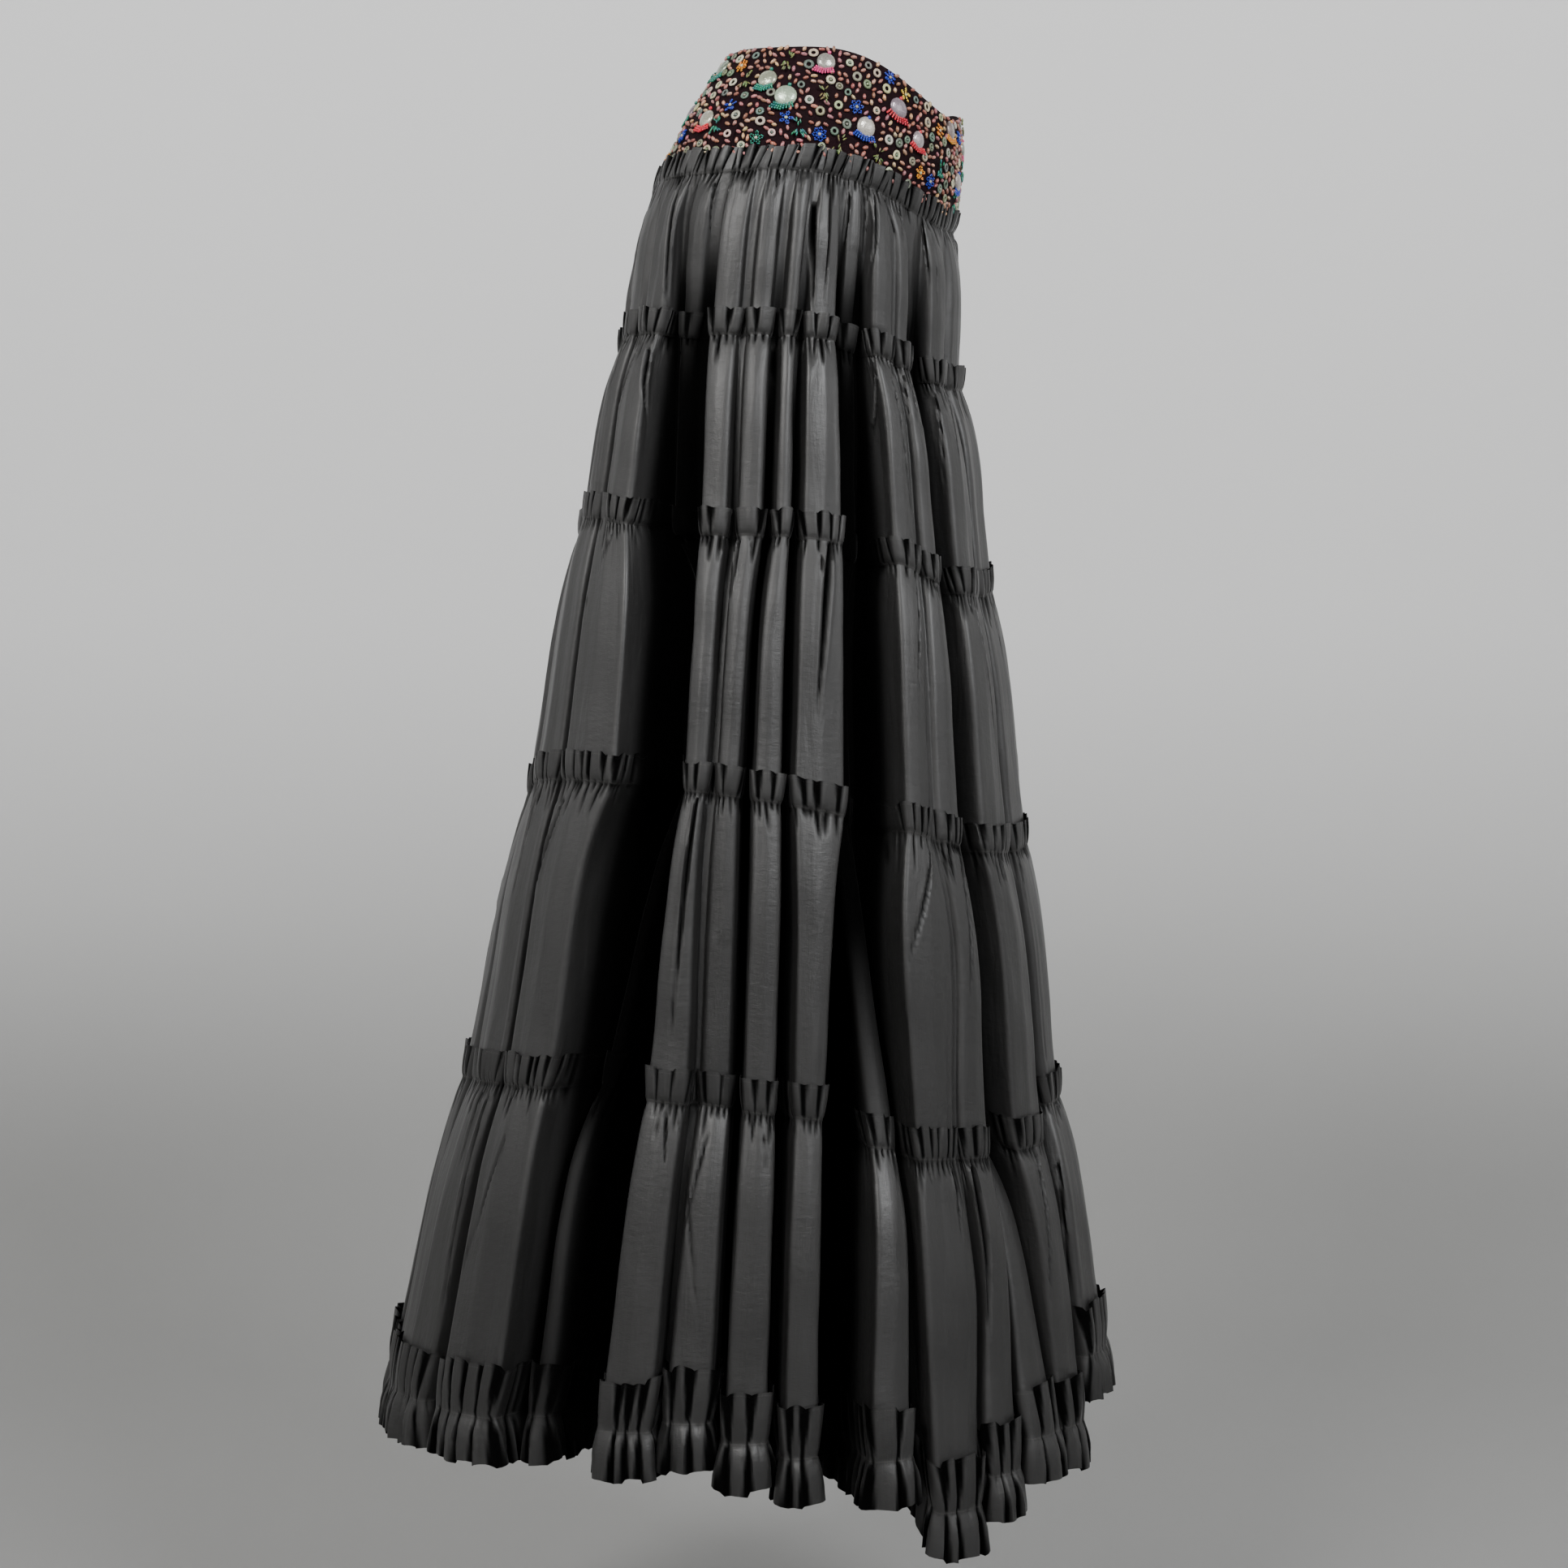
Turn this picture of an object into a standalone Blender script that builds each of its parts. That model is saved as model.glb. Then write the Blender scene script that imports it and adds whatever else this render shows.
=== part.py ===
"""Tiered ruffle maxi skirt on a beaded hip yoke, as worn: a hollow form, open at waist and hem.

Metres, +Z up. The wearer faces -Y and the wearer's right side is -X.
The origin is the middle of the waist opening, where the wearer's hips hold the skirt.
Angles round the skirt start at the front and run through the wearer's right side.
"""

import math
from collections import namedtuple

import bpy

CLOTH_WALL = 0.0012  # taffeta with its turned edges
YOKE_WALL = 0.0020  # embroidered yoke
YOKE_SWELL = 0.0040  # how far the yoke rounds out over the hips at half its height
SEAM_GAP = 0.0003  # between two pieces that are sewn together
OVER_YOKE = 0.0005  # more room for the first tier, over the yoke's coin discs
HEADINGS = (0.0185, 0.0205, 0.0215, 0.0225, 0.0250)  # frill that stands above each gathering line
HEM_HEADING = 0.0385  # the same on the hem strip
FLOUNCE = 0.0350  # drop of the hem strip below its gathering line
PUFF_SHARE = 0.30  # how far down a tier its cloth stands out most
SETTLED = 0.55  # how far its folds have changed there towards those at its foot
CROWN = 0.0020  # a fold's middle stands this far past its edges
FRILL_LOW = 0.0006  # least and most stand-off of a heading's edge
FRILL_HIGH = 0.0085
HEM_FRILL_LOW = 0.0006  # least and most flare of the hem strip's lower edge
HEM_FRILL_HIGH = 0.0100
NARROWEST_MOUTH = 0.0110  # so that a valley's two walls and their headings stay apart
NARROWEST_FLOOR = 0.0078
FLOOR_SHARE = 0.62  # width of a valley's floor as a share of its mouth
YOKE_COLUMNS = 96  # points round the waist, both yoke panels together
YOKE_ROWS = (0.0, 0.13, 0.28, 0.43, 0.58, 0.73, 1.0)
HEADING_SHARE = 0.8  # how far down the yoke the heading of the first tier reaches up to
COIN_STAND = 0.0022  # sewn-on coin disc, raised in the yoke's outer face
COIN_EDGE = 0.0010
COINS = 24

# Each ring: height of its middle, rise of the back over it, rise of both sides, more rise halfway between
# the sides and the front and back, shift towards the back, half depth, half width, depth of a full valley,
# how far the cloth below it puffs out, and its level in the fold table, from 0 at the yoke to 4 at the hem
Ring = namedtuple(
    "Ring", "height back_rise side_rise corner_rise back_shift half_depth half_width valley puff level"
)
WAIST = Ring(-0.0067, 0.0084, 0.0259, 0.0103, 0.0000, 0.0950, 0.1300, 0.000, 0.000, 0.0)
YOKE_FOOT = Ring(-0.0992, 0.0042, 0.0160, 0.0095, 0.0332, 0.1190, 0.1640, 0.000, 0.000, 0.0)
RINGS = (
    Ring(-0.1022, 0.0042, 0.0160, 0.0095, 0.0342, 0.1200, 0.1654, 0.000, 0.006, 0.0),
    Ring(-0.2317, 0.0111, 0.0134, 0.0097, 0.0452, 0.1390, 0.1820, 0.030, 0.006, 0.6),
    Ring(-0.3976, 0.0221, 0.0192, 0.0156, 0.0506, 0.1710, 0.2080, 0.066, 0.005, 1.0),
    Ring(-0.6137, 0.0197, 0.0353, 0.0062, 0.0583, 0.2090, 0.2400, 0.088, 0.005, 2.0),
    Ring(-0.8375, 0.0120, 0.0217, -0.0016, 0.0736, 0.2520, 0.2750, 0.100, 0.006, 3.0),
    Ring(-1.0679, -0.0102, 0.0060, 0.0000, 0.0889, 0.3080, 0.3190, 0.108, 0.000, 4.0),
)

# Each fold, round from the front. Every list runs evenly from the yoke to the hem, however many values
# it has: angle of the fold's crown and its width (degrees), how far it lies back (millimetres), and the
# depth of the valley that follows it, as a share of the ring's full valley. The last pair is how much
# lower it hangs low down and at the hem (millimetres).
Fold = namedtuple("Fold", "crown width back valley drop")
EVEN = (0, 0)
FOLDS = (
    Fold((6.0, 1.2, 5.0, 3.0, 4.9), (7.0, 10.0, 11.0, 11.0, 7.0), EVEN, (0.5, 0.75, 0.4), (24, 36)),
    Fold(
        (15.0, 13.4, 12.0, 13.6, 15.0, 12.6, 13.2, 12.2, 13.8), (6.0, 3.6, 3.4, 3.6, 9.0),
        (0, 30, 50, 34, 0), (0.5, 0.75, 0.85), (8, 34),
    ),
    Fold(
        (23.5, 21.0, 18.4, 20.0, 21.8, 19.4, 21.0, 19.8, 22.8),
        (6.0, 6.4, 6.4, 7.6, 7.8, 6.0, 6.6, 5.8, 7.6),
        EVEN, (0.4, 0.14, 0.06, 0.08, 0.22), (26, 54),
    ),
    Fold(
        (31.8, 29.0, 26.6, 28.6, 30.4, 30.8, 30.6, 30.2, 31.4),
        (7.0, 7.4, 7.6, 7.2, 6.6, 11.6, 8.4, 9.8, 8.0),
        EVEN, (0.7, 0.8, 0.4), (26, 74),
    ),
    Fold(
        (40.5, 39.4, 37.6, 38.6, 39.4, 41.6, 39.4, 40.4, 42.6), (6.0, 5.0, 5.0, 4.6, 5.6),
        (0, 8, 38, 60, 62, 42, 14, 6, 0), (0.7, 1.1, 1.0), (20, 28),
    ),
    Fold((48.5, 51.8, 53.4, 54.8, 56.2), (8.0, 10.2, 10.2, 4.2, 4.2), EVEN, (0.5, 0.45, 0.55), (0, 20)),
    Fold((57.5, 62.0, 64.4, 63.4, 63.8), (6.0, 4.6, 5.2, 4.8, 5.4), EVEN, (0.5, 0.45, 0.6), (0, 8)),
    Fold(
        (67.6, 69.6, 70.4, 72.2, 73.4, 73.0, 71.4, 71.8, 72.1),
        (7.4, 8.4, 7.4, 5.6, 4.8, 5.6, 5.6, 5.8, 6.0),
        (0, 0, 2, 14, 6), (0.4, 0.15, 0.25), (0, -6),
    ),
    Fold(
        (79.2, 81.2, 79.4, 79.4, 79.2, 79.8, 79.4, 80.2, 81.0),
        (9.4, 9.8, 7.2, 6.0, 4.8, 5.6, 7.0, 7.0, 7.0),
        EVEN, (0.6, 1.0, 1.05), EVEN,
    ),
    Fold(
        (92.6, 99.0, 101.2, 96.6, 93.6, 96.4, 98.2, 99.2, 98.4),
        (8.6, 8.0, 6.8, 4.0, 3.4, 3.0, 2.4, 2.6, 3.0),
        (0, 8, 42, 84, 84, 72, 44, 30, 26), (0.6, 1.0, 1.05), EVEN,
    ),
    Fold(
        (108.8, 113.0, 113.6, 109.6, 107.8, 110.2, 110.8, 110.2, 109.6),
        (12.0, 12.6, 13.0, 16.2, 17.2, 13.0, 12.0, 12.8, 12.6),
        EVEN, (0.4, 0.18, 0.3), EVEN,
    ),
    Fold((122.8, 128.4, 127.0, 125.6, 129.0), (9.4, 12.2, 14.0, 13.0, 16.0), EVEN, (0.7, 0.5, 0.85), EVEN),
    Fold(
        (135.5, 142.6, 141.0, 140.4, 145.5), (9.0, 8.0, 8.0, 8.6, 9.0),
        (0, 8, 6, 0, 6), (0.5, 0.3, 0.35), (0, 4),
    ),
    Fold((149.0, 153.6, 153.4, 154.6, 158.0), (11.0, 9.6, 10.0, 10.0, 9.6), EVEN, (0.8, 0.95, 1.0), EVEN),
    Fold(
        (163.4, 168.0, 169.0, 170.0, 171.8), (9.0, 6.0, 6.4, 7.6, 8.6),
        (0, 30, 40, 20, 8), (0.5, 0.7, 0.5), (4, 6),
    ),
    Fold((177.0, 180.5, 182.0, 183.0, 184.4), (8.0, 9.0, 9.0, 8.4, 8.4), EVEN, (0.5, 0.22, 0.3), EVEN),
    Fold((189.6, 192.0, 193.6, 195.4, 197.6), (10.0, 7.6, 7.6, 8.8, 9.8), EVEN, (0.7, 0.85, 0.95), (0, 8)),
    Fold(
        (203.0, 205.0, 206.6, 208.0, 210.4), (8.0, 8.6, 8.4, 8.0, 7.6),
        (0, 6, 12, 6, 0), (0.5, 0.25, 0.3), EVEN,
    ),
    Fold((216.4, 217.0, 218.2, 219.6, 221.8), (11.0, 9.0, 8.4, 8.6, 8.0), EVEN, (0.8, 1.0, 1.05), (0, 6)),
    Fold(
        (230.0, 231.6, 233.0, 234.4, 236.4), (9.0, 6.0, 6.0, 7.0, 8.0),
        (0, 34, 56, 40, 14), (0.6, 0.9, 0.6), EVEN,
    ),
    Fold((243.4, 244.6, 245.6, 247.0, 249.0), (10.0, 9.0, 9.4, 8.4, 8.6), EVEN, (0.5, 0.2, 0.3), (6, 12)),
    Fold((256.0, 256.6, 258.0, 259.4, 261.4), (8.0, 8.4, 8.4, 8.4, 7.6), EVEN, (0.4, 0.4, 0.45), EVEN),
    Fold((269.4, 269.6, 270.4, 271.6, 274.0), (11.0, 9.0, 8.8, 9.4, 9.2), EVEN, (0.8, 1.0, 1.1), EVEN),
    Fold(
        (284.0, 285.6, 287.0, 288.0, 290.4), (10.0, 7.6, 7.0, 7.4, 8.0),
        (0, 26, 44, 30, 10), (0.5, 0.75, 0.55), (8, 10),
    ),
    Fold((297.6, 298.8, 300.4, 301.6, 303.6), (9.0, 8.6, 9.4, 9.6, 9.4), EVEN, (0.5, 0.25, 0.35), (8, 14)),
    Fold((311.0, 311.6, 313.4, 315.0, 317.0), (10.0, 9.0, 8.6, 8.2, 8.0), EVEN, (0.7, 0.9, 0.95), (0, 6)),
    Fold(
        (325.6, 325.0, 326.0, 328.4, 331.4), (10.0, 8.4, 7.6, 8.4, 9.6),
        (0, 10, 16, 8, 0), (0.5, 0.45, 0.5), (6, 12),
    ),
    Fold(
        (345.0, 344.0, 345.6, 346.0, 350.0), (14.0, 18.0, 17.0, 14.4, 16.0),
        EVEN, (0.4, 0.2, 0.45), (-4, -10),
    ),
)

# Points across a fold: its left edge, crown and right edge, then the two sides of the valley's floor,
# each with its share of a heading's frill
FRILL_SHARES = (0.15, 1.00, 0.15, 0.0, 0.0)


def blend(low, high, share):
    return low + (high - low) * share


def at_level(values, level):
    """Reads a list, which runs evenly from the yoke to the hem, at a level from 0 to 4."""
    place = level / 4.0 * (len(values) - 1)
    i = min(int(place), len(values) - 2)
    return blend(values[i], values[i + 1], place - i)


def ring_point(ring, angle, stand_off, drop=0.0):
    """The point of a ring at an angle in degrees, moved out by stand_off along the ring's normal."""
    turn = math.radians(angle)
    across, along = math.sin(turn), math.cos(turn)
    out_x, out_y = -across / ring.half_width, -along / ring.half_depth
    length = math.hypot(out_x, out_y)
    x = -ring.half_width * across + stand_off * out_x / length
    y = ring.back_shift - ring.half_depth * along + stand_off * out_y / length
    z = ring.height - ring.back_rise * along + ring.side_rise * across ** 2
    z += ring.corner_rise * (2.0 * across * along) ** 2
    return (x, y, z - drop)


def degree(ring, angle):
    """Length along the ring of one degree at an angle."""
    turn = math.radians(angle)
    return math.radians(math.hypot(ring.half_width * math.cos(turn), ring.half_depth * math.sin(turn)))


def set_back(ring):
    """How far each fold of a ring lies back, and how deep the valley after it is."""
    arch = CROWN * min(1.0, ring.valley / 0.04)
    backs = [at_level(fold.back, ring.level) / 1000.0 for fold in FOLDS]
    depths = []
    for fold, back, following in zip(FOLDS, backs, backs[1:] + backs[:1]):
        full = ring.valley * at_level(fold.valley, ring.level)
        depths.append(max(full, back + arch, following + arch))
    return arch, backs, depths


def fold_edges(ring, depths):
    """Left and right edge of each fold of a ring, in degrees, with room kept between neighbours."""
    edges = []
    for fold in FOLDS:
        crown = at_level(fold.crown, ring.level)
        half = at_level(fold.width, ring.level) / 2
        edges.append([crown - half, crown + half])
    for i, (edge, depth) in enumerate(zip(edges, depths)):
        following = edges[(i + 1) % len(edges)]
        turn = 360.0 if i + 1 == len(edges) else 0.0
        narrowing = 1.0 - depth / (ring.half_depth + ring.half_width) * 2
        mouth = NARROWEST_MOUTH / degree(ring, edge[1]) / narrowing
        missing = mouth - (following[0] + turn - edge[1])
        if missing > 0.0:
            edge[1] -= missing / 2
            following[0] += missing / 2
    return edges


def ring_folds(ring):
    """The ring's points in order: five for each fold."""
    arch, backs, depths = set_back(ring)
    edges = fold_edges(ring, depths)
    drops = [at_level((0, 0, 0) + fold.drop, ring.level) / 1000.0 for fold in FOLDS]
    points = []
    for i, (back, depth, drop) in enumerate(zip(backs, depths, drops)):
        left, right = edges[i]
        following = edges[(i + 1) % len(FOLDS)][0] + (360.0 if i + 1 == len(FOLDS) else 0.0)
        mouth = following - right
        middle = (right + following) / 2
        narrowing = 1.0 - depth / (ring.half_depth + ring.half_width) * 2
        narrowest = NARROWEST_FLOOR / degree(ring, middle) / narrowing
        floor = min(max(mouth * FLOOR_SHARE, narrowest), mouth * 0.9) / 2
        floor_drop = min(drop, drops[(i + 1) % len(FOLDS)])
        points.append(ring_point(ring, left, -arch - back, drop))
        points.append(ring_point(ring, (left + right) / 2, -back, drop))
        points.append(ring_point(ring, right, -arch - back, drop))
        points.append(ring_point(ring, middle - floor, -depth, floor_drop))
        points.append(ring_point(ring, middle + floor, -depth, floor_drop))
    return points


def outward(points):
    """At each point of a closed ring, the level vector that moves both its neighbouring sides out by 1."""
    found = []
    count = len(points)
    for i, here in enumerate(points):
        last, following = points[i - 1], points[(i + 1) % count]
        normals = []
        for a, b in ((last, here), (here, following)):
            run_x, run_y = b[0] - a[0], b[1] - a[1]
            length = math.hypot(run_x, run_y)
            normals.append((-run_y / length, run_x / length))
        (ax, ay), (bx, by) = normals
        share = max(0.35, 1.0 + ax * bx + ay * by)
        found.append(((ax + bx) / share, (ay + by) / share))
    return found


def moved_out(points, distances, lift=0.0):
    """A ring's points moved out level, each by its own distance, and lifted."""
    if isinstance(distances, float):
        distances = [distances] * len(points)
    return [
        (x + dx * d, y + dy * d, z + lift)
        for (x, y, z), (dx, dy), d in zip(points, outward(points), distances)
    ]


def swollen(upper, lower):
    """The ring of folds where a tier stands out most, between the rings of its two edges."""
    ring = Ring(*(blend(a, b, PUFF_SHARE) for a, b in zip(upper, lower)))
    wider = ring._replace(
        level=blend(upper.level, lower.level, SETTLED),
        half_depth=ring.half_depth + upper.puff,
        half_width=ring.half_width + upper.puff,
        valley=ring.valley + upper.puff,
    )
    return ring_folds(wider)


def frill(low, high):
    """How far each point of a frilled edge stands off, from low in the valleys to high on the crowns."""
    return [blend(low, high, share) for _ in FOLDS for share in FRILL_SHARES]


def add_object(name, points, faces, color, roughness, metallic):
    mesh = bpy.data.meshes.new(name)
    mesh.from_pydata(points, [], faces)
    mesh.validate()
    mesh.shade_smooth()
    mesh.set_sharp_from_angle(angle=math.radians(50))
    material = bpy.data.materials.new(name)
    material.use_nodes = True
    shader = material.node_tree.nodes["Principled BSDF"]
    shader.inputs["Base Color"].default_value = (*color, 1.0)
    shader.inputs["Roughness"].default_value = roughness
    shader.inputs["Metallic"].default_value = metallic
    mesh.materials.append(material)
    obj = bpy.data.objects.new(name, mesh)
    bpy.context.scene.collection.objects.link(obj)
    return obj


def wall_solid(inner_rows, outer_rows, closed_round):
    """Points and faces of a closed wall. Rows run from the top down, and the points of a row run from
    the front through the wearer's right side."""
    points, faces = [], []
    inner, outer = [], []
    for rows, ids in ((inner_rows, inner), (outer_rows, outer)):
        for row in rows:
            ids.append(list(range(len(points), len(points) + len(row))))
            points += row
    count = len(inner_rows[0])
    sides = [(i, (i + 1) % count) for i in range(count if closed_round else count - 1)]
    for upper, lower in zip(outer, outer[1:]):
        for i, j in sides:
            faces.append((upper[i], upper[j], lower[j]))
            faces.append((upper[i], lower[j], lower[i]))
    for upper, lower in zip(inner, inner[1:]):
        for i, j in sides:
            faces.append((lower[j], upper[j], upper[i]))
            faces.append((lower[i], lower[j], upper[i]))
    for i, j in sides:
        faces.append((inner[0][i], inner[0][j], outer[0][j], outer[0][i]))
        faces.append((outer[-1][i], outer[-1][j], inner[-1][j], inner[-1][i]))
    if not closed_round:
        faces.append(tuple(row[0] for row in outer) + tuple(row[0] for row in reversed(inner)))
        faces.append(tuple(row[-1] for row in inner) + tuple(row[-1] for row in reversed(outer)))
    return points, faces


def add_cloth(name, rows, stand_offs):
    """One tier or strip. Each row is a ring of points, with how far off it the wall's inner face lies."""
    inner = [moved_out(row, off) for row, off in zip(rows, stand_offs)]
    outer = []
    for row, off in zip(rows, stand_offs):
        off = [off] * len(row) if isinstance(off, float) else off
        outer.append(moved_out(row, [d + CLOTH_WALL for d in off]))
    points, faces = wall_solid(inner, outer, True)
    return add_object(name, points, faces, (0.012, 0.012, 0.012), 0.45, 0.0)


def heading_row(above, gather, rise):
    """The ring of points on the cloth above, level with the top edge of a heading."""
    return [
        tuple(blend(b, a, rise / (p[2] - q[2])) for a, b in zip(p, q))
        for p, q in zip(above, gather)
    ]


def yoke_ring(share):
    """The ring of the yoke at a share of the way from the waist to its lower edge."""
    ring = Ring(*(blend(a, b, share) for a, b in zip(WAIST, YOKE_FOOT)))
    swell = YOKE_SWELL * 4.0 * share * (1.0 - share)
    return ring._replace(half_depth=ring.half_depth + swell, half_width=ring.half_width + swell)


def coin_places():
    """Column and row of each coin disc: one every few columns, at uneven heights."""
    spacing = YOKE_COLUMNS // COINS
    heights = (1, 4, 2, 3)
    return [(spacing * k + (k * 5) % 3 - 1, heights[(k * 3) % 4]) for k in range(COINS)]


def coin_lift():
    """How far each point of the yoke's outer face is raised by the coin discs."""
    lift = {}
    for column, row in coin_places():
        for step_x, step_y in ((-1, 0), (1, 0), (0, -1), (0, 1)):
            spot = ((column + step_x) % YOKE_COLUMNS, row + step_y)
            lift[spot] = max(lift.get(spot, 0.0), COIN_EDGE)
        lift[(column % YOKE_COLUMNS, row)] = COIN_STAND
    return lift


def add_yoke_panel(name, first_column, last_column):
    """Half of the yoke, from one side seam round to the other."""
    lift = coin_lift()
    turn = 360.0 / YOKE_COLUMNS
    seam = math.degrees(SEAM_GAP / 2 / WAIST.half_depth)
    columns = list(range(first_column, last_column + 1))
    angles = [turn * column for column in columns]
    angles[0] += seam
    angles[-1] -= seam
    outer, inner = [], []
    for row, share in enumerate(YOKE_ROWS):
        ring = yoke_ring(share)
        raised = [lift.get((column % YOKE_COLUMNS, row), 0.0) for column in columns]
        if share in (0.0, 1.0):
            raised = [0.0] * len(columns)
            inner.append([ring_point(ring, angle, -YOKE_WALL) for angle in angles])
        outer.append([ring_point(ring, angle, up) for angle, up in zip(angles, raised)])
    points, faces = wall_solid(inner, outer, False)
    return add_object(name, points, faces, (0.05, 0.015, 0.02), 0.6, 0.1)


def add_skirt():
    """The tiers from the yoke down, then the gathered strip along the hem."""
    over = CLOTH_WALL + SEAM_GAP
    above = ring_folds(yoke_ring(HEADING_SHARE))
    clear = OVER_YOKE
    for tier, (upper, lower) in enumerate(zip(RINGS, RINGS[1:]), start=1):
        gather, swell, foot = ring_folds(upper), swollen(upper, lower), ring_folds(lower)
        top = heading_row(above, gather, HEADINGS[tier - 1])
        stand = [clear + d for d in frill(FRILL_LOW, FRILL_HIGH)]
        add_cloth(f"tier_{tier}", [top, gather, swell, foot], [stand, clear + SEAM_GAP, 0.0, 0.0])
        above = swell
        clear = over
    gather = ring_folds(RINGS[-1])
    top = heading_row(above, gather, HEM_HEADING)
    hem = moved_out(gather, 0.0, -FLOUNCE)
    stand = [over + d for d in frill(FRILL_LOW, FRILL_HIGH)]
    flare = [over + d for d in frill(HEM_FRILL_LOW, HEM_FRILL_HIGH)]
    add_cloth("hem_flounce", [top, gather, hem], [stand, over + SEAM_GAP, flare])


def main():
    for obj in list(bpy.data.objects):
        bpy.data.objects.remove(obj)
    half = YOKE_COLUMNS // 2
    quarter = YOKE_COLUMNS // 4
    add_yoke_panel("yoke_front", -quarter, quarter)
    add_yoke_panel("yoke_back", quarter, quarter + half)
    add_skirt()


main()
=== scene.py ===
# Tiered ruffle skirt with a beaded yoke: its looks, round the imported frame.
# Metres, +Z up. The wearer's front is -Y, and the wearer's right side is -X.
import math
from collections import namedtuple

import bmesh
import bpy
import numpy as np
from mathutils import Matrix, Vector


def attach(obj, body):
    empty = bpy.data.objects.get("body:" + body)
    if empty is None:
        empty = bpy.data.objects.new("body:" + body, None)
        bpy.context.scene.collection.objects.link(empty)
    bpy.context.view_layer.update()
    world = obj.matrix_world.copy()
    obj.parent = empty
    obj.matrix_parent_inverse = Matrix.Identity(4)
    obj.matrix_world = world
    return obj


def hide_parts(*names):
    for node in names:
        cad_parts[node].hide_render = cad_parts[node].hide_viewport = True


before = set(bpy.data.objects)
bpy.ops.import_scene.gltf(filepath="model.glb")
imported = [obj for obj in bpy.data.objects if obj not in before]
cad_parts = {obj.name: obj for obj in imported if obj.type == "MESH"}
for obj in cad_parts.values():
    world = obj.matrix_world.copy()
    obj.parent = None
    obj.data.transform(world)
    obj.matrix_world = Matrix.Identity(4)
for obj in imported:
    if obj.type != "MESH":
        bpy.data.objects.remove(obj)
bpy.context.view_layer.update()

scene = bpy.context.scene
print("frame loaded")


def meshFrom(bm, name):
    mesh = bpy.data.meshes.new(name)
    bm.to_mesh(mesh)
    bm.free()
    return mesh


def addObject(name, data):
    obj = bpy.data.objects.new(name, data)
    scene.collection.objects.link(obj)
    return obj


# Form of the skirt, as in the frame
form = {
    "puffShare": 0.30,  # how far down a tier its cloth stands out most
    "settled": 0.55,  # how far its folds have changed there towards those at its foot
    "crown": 0.0020,  # a fold's middle stands this far past its edges
    "narrowestMouth": 0.0110,
    "narrowestFloor": 0.0078,
    "floorShare": 0.62,
    "clear": 0.0015,  # a tier's inner face over the cloth that it is sewn on
}

# Height of a ring's middle, rise of the back, of both sides and halfway between them, shift to the back,
# half sizes, depth of a full valley, swell of the cloth below, and level from yoke (0) to hem (4)
Ring = namedtuple("Ring", "height backRise sideRise cornerRise backShift halfDepth halfWidth valley puff "
                  "level")
waistRing = Ring(-0.0067, 0.0084, 0.0259, 0.0103, 0.0000, 0.0950, 0.1300, 0.000, 0.000, 0.0)
yokeFootRing = Ring(-0.0992, 0.0042, 0.0160, 0.0095, 0.0332, 0.1190, 0.1640, 0.000, 0.000, 0.0)
seamRings = [
    Ring(-0.1022, 0.0042, 0.0160, 0.0095, 0.0342, 0.1200, 0.1654, 0.000, 0.006, 0.0),
    Ring(-0.2317, 0.0111, 0.0134, 0.0097, 0.0452, 0.1390, 0.1820, 0.030, 0.006, 0.6),
    Ring(-0.3976, 0.0221, 0.0192, 0.0156, 0.0506, 0.1710, 0.2080, 0.066, 0.005, 1.0),
    Ring(-0.6137, 0.0197, 0.0353, 0.0062, 0.0583, 0.2090, 0.2400, 0.088, 0.005, 2.0),
    Ring(-0.8375, 0.0120, 0.0217, -0.0016, 0.0736, 0.2520, 0.2750, 0.100, 0.006, 3.0),
    Ring(-1.0679, -0.0102, 0.0060, 0.0000, 0.0889, 0.3080, 0.3190, 0.108, 0.000, 4.0),
]

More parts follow.
